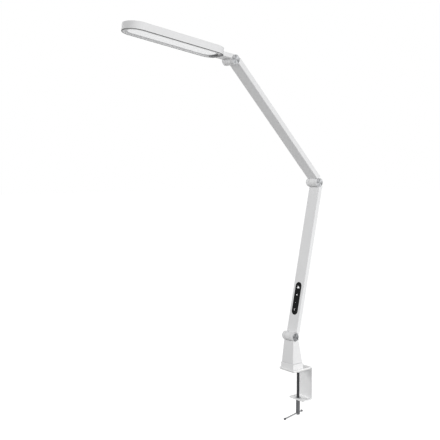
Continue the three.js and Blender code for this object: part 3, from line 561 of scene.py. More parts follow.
class CoatTexture(Effect):
    """The fine orange peel of a sprayed or moulded surface, with the slow drift of its colour."""

    name = "coat_texture"
    values = {"Grain Scale": 900.0, "Drift Scale": 9.0}
    results = ("Height", "Drift")

    def wire(self, graph: Graph, given: Mapping[str, Socket]) -> tuple[Socket, ...]:
        """Wires a fine noise to the height and a slow one to the drift."""
        grain = graph.noise(given["Vector"], given["Grain Scale"], detail=2.0)
        return grain, graph.noise(given["Vector"], given["Drift Scale"], detail=3.0)


class HandlingMarks(Effect):
    """The faint patches and fine scuffs that hands leave, as a mask from 0 to 1."""

    name = "handling_marks"
    values = {"Scale": 40.0, "Cover": 0.45}
    results = ("Marks",)

    def wire(self, graph: Graph, given: Mapping[str, Socket]) -> tuple[Socket, ...]:
        """Wires patches of noise that a finer noise breaks up.

        Args:
            graph: The group's graph.
            given: What the group is given.

        Returns:
            The mask.
        """
        finer, threshold, contrast = 9.0, 0.75, 4.0
        place, scale = given["Vector"], given["Scale"]
        patches = graph.noise(place, scale, detail=4.0)
        broken = graph.noise(place, graph.maths("MULTIPLY", scale, finer), detail=3.0)
        lifted = graph.maths("SUBTRACT", graph.maths("ADD", patches, given["Cover"]), threshold)
        mixed = graph.maths("MULTIPLY", graph.maths("MULTIPLY", lifted, contrast), broken)
        return (graph.add("Clamp", {"Value": mixed}).outputs[0],)


class DrawnGrain(Effect):
    """The long fine lines of drawn, turned or brushed metal, along the stretched axis of the place."""

    name = "drawn_grain"
    values = {"Scale": 600.0}
    results = ("Height", "Streaks")

    def wire(self, graph: Graph, given: Mapping[str, Socket]) -> tuple[Socket, ...]:
        """Wires two noises whose place was stretched beforehand.

        Args:
            graph: The group's graph.
            given: What the group is given.

        Returns:
            The lines' height and the wider streaks.
        """
        wider = 0.23
        place, scale = given["Vector"], given["Scale"]
        lines = graph.noise(place, scale, detail=4.0)
        bands = graph.noise(place, graph.maths("MULTIPLY", scale, wider), detail=2.0)
        return lines, graph.maths("MULTIPLY", lines, bands)


class Shader(Graph):
    """A material in the making: a Principled surface and the nodes that feed it."""

    def __init__(self, name: str) -> None:
        """Starts a material.

        Args:
            name: The material's name.
        """
        self.material = bpy.data.materials.new(name)
        self.material.use_nodes = True
        super().__init__(self.material.node_tree)
        self.surface = self.tree.nodes["Principled BSDF"]
        place = self.add("TexCoord")
        self.spot = place.outputs["Object"]
        self.chart = place.outputs["UV"]

    def set(self, **feeds: Feed) -> Self:
        """Feeds the surface, with underscores for the spaces in a socket's name.

        Args:
            feeds: What goes into each of its sockets.

        Returns:
            The same shader.
        """
        for name, value in feeds.items():
            self.feed(self.surface.inputs[name.replace("_", " ")], value)
        return self

    def mapped(self, place: Socket, **change: Point) -> Socket:
        """A place that is moved, turned or scaled."""
        return self.add("Mapping", {"Vector": place, **change}).outputs["Vector"]

    def effect(self, effect: Effect, place: Socket | None = None, **values: float) -> Mapping[str, Socket]:
        """What a shared effect gives at a place, by default the plain place on the object."""
        feeds = {name.replace("_", " "): value for name, value in values.items()}
        return self.add("Group", {"Vector": place or self.spot, **feeds}, node_tree=effect.tree()).outputs

    def bump(self, height: Socket, depth: float, strength: float) -> Self:
        """Raises a grain of some depth in metres, of which so much shows."""
        node = self.add("Bump", {"Height": height, "Distance": depth, "Strength": strength})
        return self.set(Normal=node.outputs["Normal"])


# ---------- Finishes ----------


@dataclass(frozen=True)
class Finish:
    """How a surface of the lamp is finished.

    Attributes:
        name: The finish's name.
        colour: Its plain colour.
        roughness: Its roughness where it is clean.
    """

    name: str
    colour: Colour
    roughness: float

    @cache
    def material(self) -> bpy.types.Material:
        """The finish's material, mixed the first time that it is asked for."""
        return self.mix(Shader(self.name)).material

    def shade(self, factor: float) -> Colour:
        """The plain colour made lighter or darker."""
        return tuple(min(1.0, part * factor) for part in self.colour)

    def mix(self, shader: Shader) -> Shader:
        """Wires the finish into a new material."""
        raise NotImplementedError


@dataclass(frozen=True)
class Grained(Finish):
    """A surface with a fine grain, a slow drift of its colour and the marks of hands: by default, moulded.

    Attributes:
        grain: The grain's scale.
        drift: The scale of the colour's drift.
        tones: How dark and how light the drift makes the colour.
        span: Where in the drift the colour starts and ends to change.
        marks: The scale of the marks, or 0 where the drift roughens the surface by itself.
        cover: How much of the surface they cover.
        wear: How much rougher it is there.
        depth: The grain's depth in metres.
        strength: How much of the grain shows.
        gloss: How strongly the surface shines.
        metal: 1 where it is bare metal.
    """

    grain: float = 1500.0
    drift: float = 30.0
    tones: tuple[float, float] = (0.9, 1.1)
    span: tuple[float, float] = (0.35, 0.65)
    marks: float = 60.0
    cover: float = 0.4
    wear: float = 0.1
    depth: float = 0.02 * MM
    strength: float = 0.5
    gloss: float = 0.4
    metal: float = 0.0

    def texture(self, shader: Shader) -> tuple[Socket, Socket]:
        """The grain's height and the colour's drift."""
        coat = shader.effect(CoatTexture(), Grain_Scale=self.grain, Drift_Scale=self.drift)
        return coat["Height"], coat["Drift"]

    def mix(self, shader: Shader) -> Shader:
        """Wires the drift to the colour, the marks to the roughness and the grain to the normal.

        Args:
            shader: The material in the making.

        Returns:
            The same material.
        """
        height, drift = self.texture(shader)
        worn = drift
        if self.marks:
            worn = shader.effect(HandlingMarks(), Scale=self.marks, Cover=self.cover)["Marks"]
        stops = [(spot, self.shade(tone)) for spot, tone in zip(self.span, self.tones)]
        shader.set(Base_Color=shader.ramp(drift, stops))
        shader.set(Roughness=shader.between(worn, self.roughness, self.roughness + self.wear))
        shader.bump(height, self.depth, self.strength)
        return shader.set(Specular_IOR_Level=self.gloss, Metallic=self.metal)


@dataclass(frozen=True)
class PowderCoat(Grained):
    """Satin white paint baked on metal, with a fine orange peel."""

    grain: float = 1100.0
    drift: float = 11.0
    tones: tuple[float, float] = (0.988, 1.012)
    span: tuple[float, float] = (0.3, 0.7)
    marks: float = 26.0
    cover: float = 0.36
    wear: float = 0.12
    depth: float = 0.006 * MM
    strength: float = 0.12
    gloss: float = 0.5


@dataclass(frozen=True)
class LitOpal(Grained):
    """Frosted white plastic with light behind it, or a printed mark that glows.

    Attributes:
        glow: How strongly it shines by itself.
    """

    grain: float = 1800.0
    drift: float = 16.0
    tones: tuple[float, float] = (0.985, 1.01)
    span: tuple[float, float] = (0.3, 0.7)
    marks: float = 0.0
    depth: float = 0.006 * MM
    strength: float = 0.3
    gloss: float = 0.3
    glow: float = 0.2

    def mix(self, shader: Shader) -> Shader:
        """Adds the glow, which is seen but isn't aimed at as a lamp is.

        Args:
            shader: The material in the making.

        Returns:
            The same material.
        """
        super().mix(shader)
        shader.material.cycles.emission_sampling = "NONE"
        return shader.set(Emission_Color=self.colour, Emission_Strength=self.glow)


@dataclass(frozen=True)
class DrawnMetal(Grained):
    """Bare, plated or blackened metal with its drawing or turning lines.

    Attributes:
        along: How the grain is stretched along each axis: a small factor makes long lines.
    """

    grain: float = 700.0
    tones: tuple[float, float] = (0.78, 1.22)
    span: tuple[float, float] = (0.12, 0.42)
    marks: float = 90.0
    cover: float = 0.42
    wear: float = 0.15
    depth: float = 0.006 * MM
    strength: float = 0.4
    gloss: float = 0.5
    metal: float = 1.0
    along: Point = (1.0, 1.0, 0.06)

    def texture(self, shader: Shader) -> tuple[Socket, Socket]:
        """The lines' height and the streaks."""
        grain = shader.effect(DrawnGrain(), shader.mapped(shader.spot, Scale=self.along), Scale=self.grain)
        return grain["Height"], grain["Streaks"]


@dataclass(frozen=True)
class SpunFace(Finish):
    """A disc spun on a lathe, with painted reflections: light and dark wedges around the middle, painted into its
    colour where the light would catch its rings.

    It reads the piece's own map, in which the disc's middle is at (0.5, 0.5).

    Attributes:
        fans: The places around the disc, from 0 to 1, and how bright the painted reflection makes the metal there.
        rings: How closely the turned rings follow each other.
        valley: How dark the metal is between two rings.
        wear: How much rougher the marks of hands are.
        depth: The rings' depth in metres.
    """

    fans: tuple[tuple[float, float], ...] = ()
    rings: float = 260.0
    valley: float = 0.9
    wear: float = 0.1
    depth: float = 0.01 * MM

    def mix(self, shader: Shader) -> Shader:
        """Wires the painted reflections to the colour and the turned rings to the normal.

        Args:
            shader: The material in the making.

        Returns:
            The same material.
        """
        centred = shader.mapped(shader.chart, Location=(-0.5, -0.5, 0.0))
        around = shader.add("TexGradient", {"Vector": centred}, gradient_type="RADIAL").outputs["Fac"]
        # Painted reflection: wedges of light and dark around the disc's middle.
        fans = shader.ramp(around, [(spot, self.shade(light)) for spot, light in self.fans])
        radius = shader.add("VectorMath", {0: centred}, operation="LENGTH").outputs["Value"]
        wave = shader.maths("SINE", shader.maths("MULTIPLY", radius, self.rings))
        height = shader.maths("MULTIPLY_ADD", wave, 0.5, 0.5)
        rings = shader.ramp(height, [(0.0, (self.valley,) * 3), (1.0, (1.0, 1.0, 1.0))])
        layers = {"Factor": 1.0, 6: fans, 7: rings}
        tone = shader.add("Mix", layers, data_type="RGBA", blend_type="MULTIPLY").outputs[2]
        marks = shader.effect(HandlingMarks(), Scale=120.0, Cover=0.4)["Marks"]
        shader.set(Roughness=shader.between(marks, self.roughness, self.roughness + self.wear))
        shader.bump(height, self.depth, strength=0.5)
        return shader.set(Base_Color=tone, Metallic=1.0)


@dataclass(frozen=True)
class SolderMask(Finish):
    """A circuit board's green varnish over its copper tracks.

    Attributes:
        track: The colour over a track.
        tracks: The tracks' scale.
        width: A track's width, as a share.
        lighter: How much lighter every second stretch of varnish is.
        depth: How far the tracks stand out, in metres.
    """

    track: Colour = (0.12, 0.4, 0.2)
    tracks: float = 120.0
    width: float = 0.06
    lighter: float = 1.2
    depth: float = 0.03 * MM

    def mix(self, shader: Shader) -> Shader:
        """Wires a board-like brick pattern to the colour and the normal.

        Args:
            shader: The material in the making.

        Returns:
            The same material.
        """
        feeds = {
            "Vector": shader.mapped(shader.spot, Rotation=(math.radians(90), 0.0, 0.0)),
            "Scale": self.tracks,
            "Mortar Size": self.width,
            "Color1": self.colour,
            "Color2": self.shade(self.lighter),
            "Mortar": self.track,
        }
        tracks = shader.add("TexBrick", feeds).outputs
        shader.bump(tracks["Fac"], self.depth, strength=0.5)
        return shader.set(Base_Color=tracks["Color"], Roughness=self.roughness)


WHITE_COAT = PowderCoat("white_powder_coat", (0.82, 0.822, 0.828), 0.36)
FITTING_COAT = PowderCoat("fitting_coat", (0.835, 0.837, 0.843), 0.4, grain=900.0, tones=(0.98, 1.02))
# Partly painted light: the clamp's own whiter paint, made lighter still to stand for the brighter light that falls
# on the clamp.
CLAMP_COAT_WITH_PAINTED_LIGHT = PowderCoat("clamp_coat", (0.94, 0.942, 0.945), 0.3)
PLINTH_COAT = PowderCoat("plinth_coat", (0.87, 0.872, 0.876), 0.34)
CAP_RIM = DrawnMetal("turned_rim", (0.5, 0.505, 0.515), 0.3, along=(0.3, 1.0, 0.3), tones=(0.88, 1.12))
# Painted reflections: the light and dark wedges on the spun caps' faces, painted into their colour.
PAINTED_CAP_GLINTS = (
    (0.0, 0.75),
    (0.1, 0.42),
    (0.19, 1.15),
    (0.3, 0.6),
    (0.42, 1.0),
    (0.52, 0.4),
    (0.62, 0.95),
    (0.73, 0.48),
    (0.86, 1.2),
    (1.0, 0.75),
)
CAP_FACE = SpunFace("spun_cap", (0.62, 0.63, 0.645), 0.34, PAINTED_CAP_GLINTS)
# Painted shade: a darker copy of the spun face for the base hinge's caps, which sit in shade.
SHADE_PAINTED_CAP_FACE = SpunFace("low_spun_cap", (0.3, 0.305, 0.315), 0.34, PAINTED_CAP_GLINTS)
ZINC = DrawnMetal("zinc_plate", (0.52, 0.53, 0.54), 0.36)
DARK_STEEL = DrawnMetal("blackened_steel", (0.13, 0.132, 0.138), 0.4)
BAR_STEEL = DrawnMetal("drawn_bar", (0.42, 0.425, 0.43), 0.34, along=(0.08, 0.3, 1.0))
MILL_ALUMINIUM = DrawnMetal("mill_aluminium", (0.6, 0.61, 0.62), 0.45, along=(1.0, 0.06, 1.0))
RUBBER = Grained("soft_rubber", (0.035, 0.035, 0.038), 0.7, grain=800.0, depth=0.05 * MM, gloss=0.3)
PALE_PAD = Grained("pale_pad", (0.78, 0.78, 0.775), 0.6, grain=700.0, depth=0.04 * MM, gloss=0.3)
NYLON = Grained("natural_nylon", (0.66, 0.66, 0.63), 0.5)
SOCKET_PLASTIC = Grained("socket_plastic", (0.03, 0.03, 0.032), 0.5)
# Painted shade: the dark band along the head shell's lower edge, where the lip under the rim is in shadow.
RIM_SHADE = Grained("rim_seal", (0.09, 0.091, 0.093), 0.55)
# Painted shade: the darker grey on the window's frame by the neck, standing for the shadow in the recess under the
# neck.
NECK_SHADE = Grained("neck_recess", (0.34, 0.343, 0.348), 0.55)
REFLECTOR_WHITE = Grained("reflector_white", (0.86, 0.86, 0.86), 0.55)
GLOSS_BLACK = Grained(
    "polished_panel",
    (0.0045, 0.0048, 0.0055),
    0.1,
    grain=300.0,
    drift=24.0,
    tones=(0.8, 1.3),
    span=(0.35, 0.7),
    marks=45.0,
    cover=0.5,
    wear=0.16,
    depth=0.002 * MM,
    strength=0.2,
    gloss=0.1,
)
OPAL = LitOpal("frosted_opal", (0.9, 0.905, 0.91), 0.42, glow=0.42)
LIT_MARK = LitOpal("lit_mark", (0.95, 0.96, 0.97), 0.4, glow=3.0)
SOFT_MARK = LitOpal("soft_mark", (0.85, 0.855, 0.86), 0.4, glow=2.2)
FAINT_MARK = LitOpal("faint_mark", (0.8, 0.805, 0.81), 0.4, glow=1.7)
PRINTED_MARK = LitOpal("printed_mark", (0.62, 0.625, 0.63), 0.4, glow=0.6)
CIRCUIT = SolderMask("solder_mask", (0.03, 0.17, 0.08), 0.4)

FINISH_OF_SLOT: dict[str, Finish] = {
    "white_paint": WHITE_COAT,
    "fitting_paint": FITTING_COAT,
    "turned_aluminium": CAP_RIM,
    "zinc_steel": ZINC,
    "dark_steel": DARK_STEEL,
    "black_rubber": RUBBER,
    "nylon": NYLON,
    "black_gloss": GLOSS_BLACK,
    "black_plastic": SOCKET_PLASTIC,
    "circuit_board": CIRCUIT,
    "opal_diffuser": OPAL,
    "plain_aluminium": MILL_ALUMINIUM,
}
OWN_FINISH: dict[str, Finish] = {
    "clamp_bracket": CLAMP_COAT_WITH_PAINTED_LIGHT,
    "upper_jaw_pad": PALE_PAD,
    "plinth": PLINTH_COAT,
    "reflector": REFLECTOR_WHITE,
    "tommy_bar": BAR_STEEL,
}


# ---------- Pieces ----------


def keep(bench: Bench, body: str, finish: Finish) -> bpy.types.Object:
    """Finishes a new piece and fixes it to the lamp.

    Args:
        bench: The bench that holds it.
        body: The body that it rides on.
        finish: Its finish.

    Returns:
        The piece.
    """
    bench.clear()
    piece = bench.piece
    piece.data.materials.clear()
    piece.data.materials.append(finish.material())
    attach(piece, body)
    LOG.info("%s: %d faces, rides on %s", piece.name, len(piece.data.polygons), body)
    return piece


def tint(piece: bpy.types.Object, finish: Finish, faces: Iterable[int]) -> None:
    """Gives some of a piece's faces a second finish.

    Args:
        piece: The piece.
        finish: The second finish.
        faces: The faces' numbers.
    """
    piece.data.materials.append(finish.material())
    for index in faces:
        piece.data.polygons[index].material_index = 1


def finish_of_node(node: str) -> Finish:
    """A node's own finish, or else that of its material slot."""
    return OWN_FINISH.get(node) or FINISH_OF_SLOT[slot_of_node(node)]


def paint(node: str) -> None:
    """Gives a node of the frame its finish and leaves its shape alone.

    Args:
        node: The node.
    """
    piece = frame["nodes"][node]
    finish = finish_of_node(node)
    if not piece.material_slots:
        piece.data.materials.append(finish.material())
    for held in piece.material_slots:
        held.material = finish.material()
    LOG.info("%s: kept, %s", node, finish.name)


def stand_in(bench: Bench, node: str, finish: Finish | None = None) -> bpy.types.Object:
    """Finishes a new piece and puts it in the place of a node of the frame.

    Args:
        bench: The bench that holds it.
        node: The node.
        finish: Its finish, or None for the node's.

    Returns:
        The piece.
    """
    piece = keep(bench, body_of_node(node), finish or finish_of_node(node))
    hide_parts(node)
    return piece


def refine(node: str, width: float) -> bpy.types.Object:
    """Stands a smoothed copy of a node in its place, with its sharp edges broken by so much."""
    return stand_in(Bench.copy_of(node, f"{node}_eased").ease(width).smooth(), node)


@dataclass
class Assembly:
    """A part of the lamp that is built and dressed together.

    Attributes:
        eased: The nodes whose edges are broken, and how far.
        kept: The nodes whose shapes stay as they are.
    """

    eased: Eased = ()
    kept: Names = ()

    def build(self) -> None:
        """Makes the assembly's new pieces."""
        for node, width in self.eased:
            refine(node, width)

    def dress(self) -> None:
        """Gives the frame's own nodes their finishes."""
        for node in self.kept:
            paint(node)


@dataclass
class DeskClamp(Assembly):
    """The bent bracket with its jaw pad, the nut in its lower plate and the plinth's screws."""

    eased: Eased = (
        ("clamp_bracket", 0.45 * MM),
        ("upper_jaw_pad", 0.4 * MM),
        ("clamp_nut", 0.3 * MM),
    )
    kept: Names = both("plinth_screw")


@dataclass
class ClampScrew(Assembly):
    """The clamp's screw with its cut thread, its sliding bar and its swivelling foot.

    Attributes:
        pitch: The thread's pitch.
        root: The thread's root radius.
        crest: The thread's crest radius.
        turn_steps: How many steps a turn of the thread has.
        foot_gap: How far below the foot the thread ends.
        stub_radius: The radius of the plain tip that turns in the foot.
        stub_root: How far the tip starts inside the thread.
        head_radius: The radius of the thick end that holds the bar.
        head_length: The thick end's length.
        head_round: How far its lower edge is rounded.
        edge: How far the other turned edges are rounded.
        bar_radius: The bar's radius.
        bar_play: How much wider the bar's hole is, in its radius.
        bar_angle: How far the bar is turned from the X axis, in degrees.
        button_radius: The radius of the bar's swaged ends.
        button: The lengths of a swaged end's flare, barrel and rounded tip.
        tip_share: How wide the tip ends, as a share of the barrel.
    """

    eased: Eased = (("pressure_foot", 0.3 * MM), ("pressure_foot_grip", 0.25 * MM))
    pitch: float = 1.25 * MM
    root: float = 3.15 * MM
    crest: float = 3.8 * MM
    turn_steps: int = 24
    foot_gap: float = 0.3 * MM
    stub_radius: float = 2.6 * MM
    stub_root: float = 0.5 * MM
    head_radius: float = 5.2 * MM
    head_length: float = 39 * MM
    head_round: float = 1 * MM
    edge: float = 0.4 * MM
    bar_radius: float = 2 * MM
    bar_play: float = 0.3 * MM
    bar_angle: float = 12.6
    button_radius: float = 2.9 * MM
    button: tuple[float, float, float] = (0.9 * MM, 3.4 * MM, 0.7 * MM)
    tip_share: float = 0.72

    def build(self) -> None:
        """Makes the screw and the bar, and eases the foot."""
        self.screw()
        self.bar()
        super().build()

    def across(self) -> Matrix:
        """The bar's place: X along it, through the screw's axis."""
        low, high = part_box("tommy_bar")
        return stand((0, 0, (low.z + high.z) / 2), turn=math.radians(self.bar_angle))

    def screw(self) -> None:
        """Cuts the screw from the end of its head to the tip of its stub."""
        low, high = (corner.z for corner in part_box("clamp_screw"))
        head_top = low + self.head_length
        thread_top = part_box("pressure_foot")[0].z - self.foot_gap
        thread = self.thread(head_top - self.pitch, thread_top)
        head = Bench.rod("screw_head", self.head_radius, (0, 0, low), (0, 0, head_top))
        head.rim((0, 0, -1), -low).bevel(self.head_round, segments=3)
        head.rim((0, 0, 1), head_top).bevel(self.edge, segments=2)
        ends = (-2 * self.head_radius, 0, 0), (2 * self.head_radius, 0, 0)
        drill = Bench.rod("drill", self.bar_radius + self.bar_play, *ends, sides=32)
        head.cut(drill.settle(self.across()))
        ends = (0, 0, thread_top - self.stub_root), (0, 0, high)
        stub = Bench.rod("screw_stub", self.stub_radius, *ends, sides=32)
        stub.rim((0, 0, 1), high).bevel(self.edge, segments=2)
        head.join([thread, stub]).piece.name = "threaded_screw"
        stand_in(head.smooth(angle=38.0), "clamp_screw")

    def thread(self, low: float, high: float) -> Bench:
        """Winds a V thread between two heights and closes its ends.

        Args:
            low: The lower end.
            high: The upper end.

        Returns:
            A bench that holds it.
        """
        Bench.clear()
        half = self.pitch / 2
        bpy.ops.mesh.primitive_circle_add(vertices=4, radius=half, rotation=(math.radians(90), 0, 0))
        bench = Bench.start("screw_thread")
        bench.edit(Pick.VERTS, lambda v: v.co.x < NEAR - half)
        bpy.ops.mesh.delete(type="VERT")
        bench.whole().resize(((self.crest - self.root) / half, 1, 1), (0, 0, 0))
        bench.move((self.root, 0, low - self.pitch))
        bench.modify(
            "SCREW",
            axis="Z",
            angle=math.tau,
            screw_offset=self.pitch,
            iterations=math.ceil((high - low) / self.pitch) + 2,
            steps=self.turn_steps,
            render_steps=self.turn_steps,
            use_merge_vertices=False,
        )
        bench.whole()
        bpy.ops.mesh.remove_doubles(threshold=NEAR)
        for height, way in ((low, -1), (high, 1)):
            bench.split((0, 0, height), (0, 0, way), use_fill=True, clear_outer=True)
        bench.whole()
        bpy.ops.mesh.normals_make_consistent(inside=False)
        bench.clear()
        return bench

    def bar(self) -> None:
        """Turns the bar with a swaged button at each end."""
        low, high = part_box("tommy_bar")
        turn = math.radians(self.bar_angle)
        slack = self.button_radius * math.sin(turn)
        left = (low.x + slack) / math.cos(turn) + sum(self.button)
        right = (high.x - slack) / math.cos(turn) - sum(self.button)
        bar = Bench.rod("swaged_bar", self.bar_radius, (left, 0, 0), (right, 0, 0), sides=32)
        growths = (self.button_radius / self.bar_radius, 1.0, self.tip_share)
        for end, way in ((left, -1), (right, 1)):
            bar.faces((way, 0, 0), way * end)
            for length, growth in zip(self.button, growths):
                bar.extrude((way * length, 0, 0)).resize((1, growth, growth), (end, 0, 0))
        bar.smooth(angle=40.0)
        swaged = [face.index for face in bar.piece.data.polygons if not left < face.center.x < right]
        tint(stand_in(bar.settle(self.across()), "tommy_bar"), DARK_STEEL, swaged)


@dataclass
class Base(Assembly):
    """The plinth, the tapered tower on its swivel, what holds and closes the tower, and the power socket."""

    eased: Eased = (
        ("plinth", 0.5 * MM),
        ("tower_shell", 0.5 * MM),
        ("power_inlet", 0.25 * MM),
    )
    kept: Names = (
        "swivel_bolt",
        "swivel_nut",
        "swivel_washer",
        "swivel_glide",
        "tower_floor",
        *both("tower_floor_screw"),
    )


@dataclass
class HingeCores(Assembly):
    """The bolts, nuts and washers inside the tilt hinges."""

    kept: Names = tuple(
        f"{hinge}_{part}"
        for hinge in ("base_hinge", "elbow", "head_hinge")
        for part in ("bolt", "nut", *both("washer"))
    )


@dataclass
class HingeCaps(Assembly):
    """The spun metal caps at both ends of every tilt hinge.

    Attributes:
        radius: A cap's radius.
        thickness: How far it stands out.
        half: From the hinge's middle to a cap's inner face.
        stub_radius: The radius of the plug behind it.
        stub_length: The plug's length.
        crown: How far the outer edge is rounded.
        back_edge: How far the inner edge is rounded.
        rim: The width of its raised rim.
        slope: The width of the step from the rim down to the face.
        sink: How far the face lies below the rim.
        dimple: How far in from the face's edge the dimple starts, as a share of the radius.
        dimple_slope: The width of the dimple's side.
        dimple_depth: The dimple's depth.
        hinges: Each hinge's name, its joint and the finish of its caps' faces.
    """

    radius: float = 10.8 * MM
    thickness: float = 2.2 * MM
    half: float = 17.5 * MM
    stub_radius: float = 5.9 * MM
    stub_length: float = 0.8 * MM
    crown: float = 0.5 * MM
    back_edge: float = 0.2 * MM
    rim: float = 1.0 * MM
    slope: float = 0.25 * MM
    sink: float = 0.45 * MM
    dimple: float = 0.74
    dimple_slope: float = 0.35 * MM
    dimple_depth: float = 0.25 * MM
    hinges: tuple[tuple[str, str, Finish], ...] = (
        # The base hinge's caps take the darker copy of the spun face: painted shade.
        ("base_hinge", "base_tilt", SHADE_PAINTED_CAP_FACE),
        ("elbow", "elbow", CAP_FACE),
        ("head_hinge", "head_tilt", CAP_FACE),
    )

    def build(self) -> None:
        """Turns one cap and fits a copy at each end of each hinge."""
        pattern = self.pattern()
        for name, joint_name, finish in self.hinges:
            middle = joint_point(joint_name)
            for side, node in zip(Side, both(f"{name}_cap")):
                turn = 0.0 if side is Side.LEFT else math.pi
                cap = pattern.twin(f"{node}_spun").settle(stand(middle, turn=turn))
                piece = stand_in(cap, node, finish)
                tint(piece, CAP_RIM, self.rim_faces(piece, middle))
        pattern.discard()

    def pattern(self) -> Bench:
        """Turns a cap that faces +Y: a plug, a disc with a raised rim, a sunk face and a dimple.

        Returns:
            A bench that holds it.
        """
        inner, outer = self.half, self.half + self.thickness
        cap = Bench.rod("cap_pattern", self.radius, (0, inner, 0), (0, outer, 0), sides=96)
        cap.rim((0, 1, 0), outer).bevel(self.crown, segments=4)
        cap.rim((0, -1, 0), -inner).bevel(self.back_edge, segments=2)
        cap.faces((0, 1, 0), outer).inset(self.rim - self.crown).inset(self.slope, -self.sink)
        cap.inset(self.radius * self.dimple).inset(self.dimple_slope, -self.dimple_depth)
        cap.faces((0, -1, 0), -inner).inset(self.radius - self.stub_radius - self.back_edge)
        cap.extrude((0, -self.stub_length, 0)).clear()
        self.chart(cap.piece.data)
        return cap.smooth(angle=28.0)

    def chart(self, mesh: bpy.types.Mesh) -> None:
        """Maps the cap from its axis, with the middle at (0.5, 0.5).

        Args:
            mesh: The cap's mesh.
        """
        layer = mesh.uv_layers.active or mesh.uv_layers.new(name="turned")
        for loop in mesh.loops:
            point = mesh.vertices[loop.vertex_index].co
            layer.data[loop.index].uv = [0.5 + part / self.radius / 2 for part in point.xz]

    def rim_faces(self, piece: bpy.types.Object, middle: Vector) -> list[int]:
        """Finds what isn't spun: the rim, the side and the plug.

        Args:
            piece: A cap in its place.
            middle: The middle of its hinge.

        Returns:
            The faces' numbers.
        """
        face_radius = self.radius - self.rim - NEAR
        found = []
        for face in piece.data.polygons:
            away = Vector((face.center.x - middle.x, face.center.z - middle.z)).length
            if away > face_radius or abs(face.center.y) < self.half:
                found.append(face.index)
        return found


@dataclass
class Arms(Assembly):
    """The two rectangular tubes, the hinge fittings that plug into their ends and the panel's board."""

    eased: Eased = (
        ("lower_arm_tube", 0.25 * MM),
        ("upper_arm_tube", 0.25 * MM),
        ("lower_arm_foot_fitting", 0.35 * MM),
        ("lower_arm_elbow_fitting", 0.35 * MM),
        ("upper_arm_elbow_fitting", 0.35 * MM),
        ("upper_arm_head_fitting", 0.35 * MM),
    )
    kept: Names = ("control_board",)


@dataclass
class ArmScrews(Assembly):
    """The pan-head screws that hold the hinge fittings in the arms' tubes.

    Attributes:
        head_radius: A head's radius.
        head_height: A head's height.
        crown: How far its edge is rounded.
        shank_radius: The shank's radius.
        length: The shank's length below the head.
        slot_width: The width of each slot of the cross.
        slot_reach: How far the cross reaches over the head.
        slot_depth: The cross's depth.
        slot_taper: How wide a slot is at its floor, as a share.
        arms: Each arm with the joints at its lower and its upper end.
    """

    head_radius: float = 2.6 * MM
    head_height: float = 1.4 * MM
    crown: float = 0.7 * MM
    shank_radius: float = 1.2 * MM
    length: float = 6 * MM
    slot_width: float = 0.55 * MM
    slot_reach: float = 1.5 * MM
    slot_depth: float = 0.8 * MM
    slot_taper: float = 0.6
    arms: tuple[tuple[str, str, str], ...] = (
        ("lower_arm", "base_tilt", "elbow"),
        ("upper_arm", "elbow", "head_tilt"),
    )

    def build(self) -> None:
        """Makes one screw and sets a copy at each end of each arm."""
        pattern = self.pattern()
        for arm, lower, upper in self.arms:
            along = (joint_point(upper) - joint_point(lower)).normalized()
            out = Vector((along.z, 0, -along.x))
            for node in self.nodes_of(arm):
                low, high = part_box(node)
                seat = (low + high) / 2 + out * (self.length - self.head_height) / 2
                screw = pattern.twin(f"{node}_pan_head").settle(stand(seat, math.atan2(along.x, along.z)))
                stand_in(screw, node)
        pattern.discard()

    @staticmethod
    def nodes_of(arm: str) -> list[str]:
        """The frame's screws in an arm."""
        return [node for node in frame["nodes"] if node.startswith(arm) and node.endswith("_screw")]

    def pattern(self) -> Bench:
        """Turns a screw along X whose head's underside is at the origin, and presses its cross.

        Returns:
            A bench that holds it.
        """
        head = Bench.rod("pan_head", self.head_radius, (0, 0, 0), (self.head_height, 0, 0), sides=32)
        head.rim((1, 0, 0), self.head_height).bevel(self.crown, segments=4)
        top = self.head_height + MM
        floor = self.head_height - self.slot_depth
        half = self.slot_width / 2
        for reach_y, reach_z in ((self.slot_reach, half), (half, self.slot_reach)):
            cross = Bench.block("cross", (floor, -reach_y, -reach_z), (top, reach_y, reach_z))
            cross.faces((-1, 0, 0)).resize((1, self.slot_taper, self.slot_taper), (floor, 0, 0))
            head.cut(cross)
        head.faces((-1, 0, 0), 0.0).inset(self.head_radius - self.shank_radius)
        head.extrude((-self.length, 0, 0)).clear()
        return head.smooth(angle=40.0)


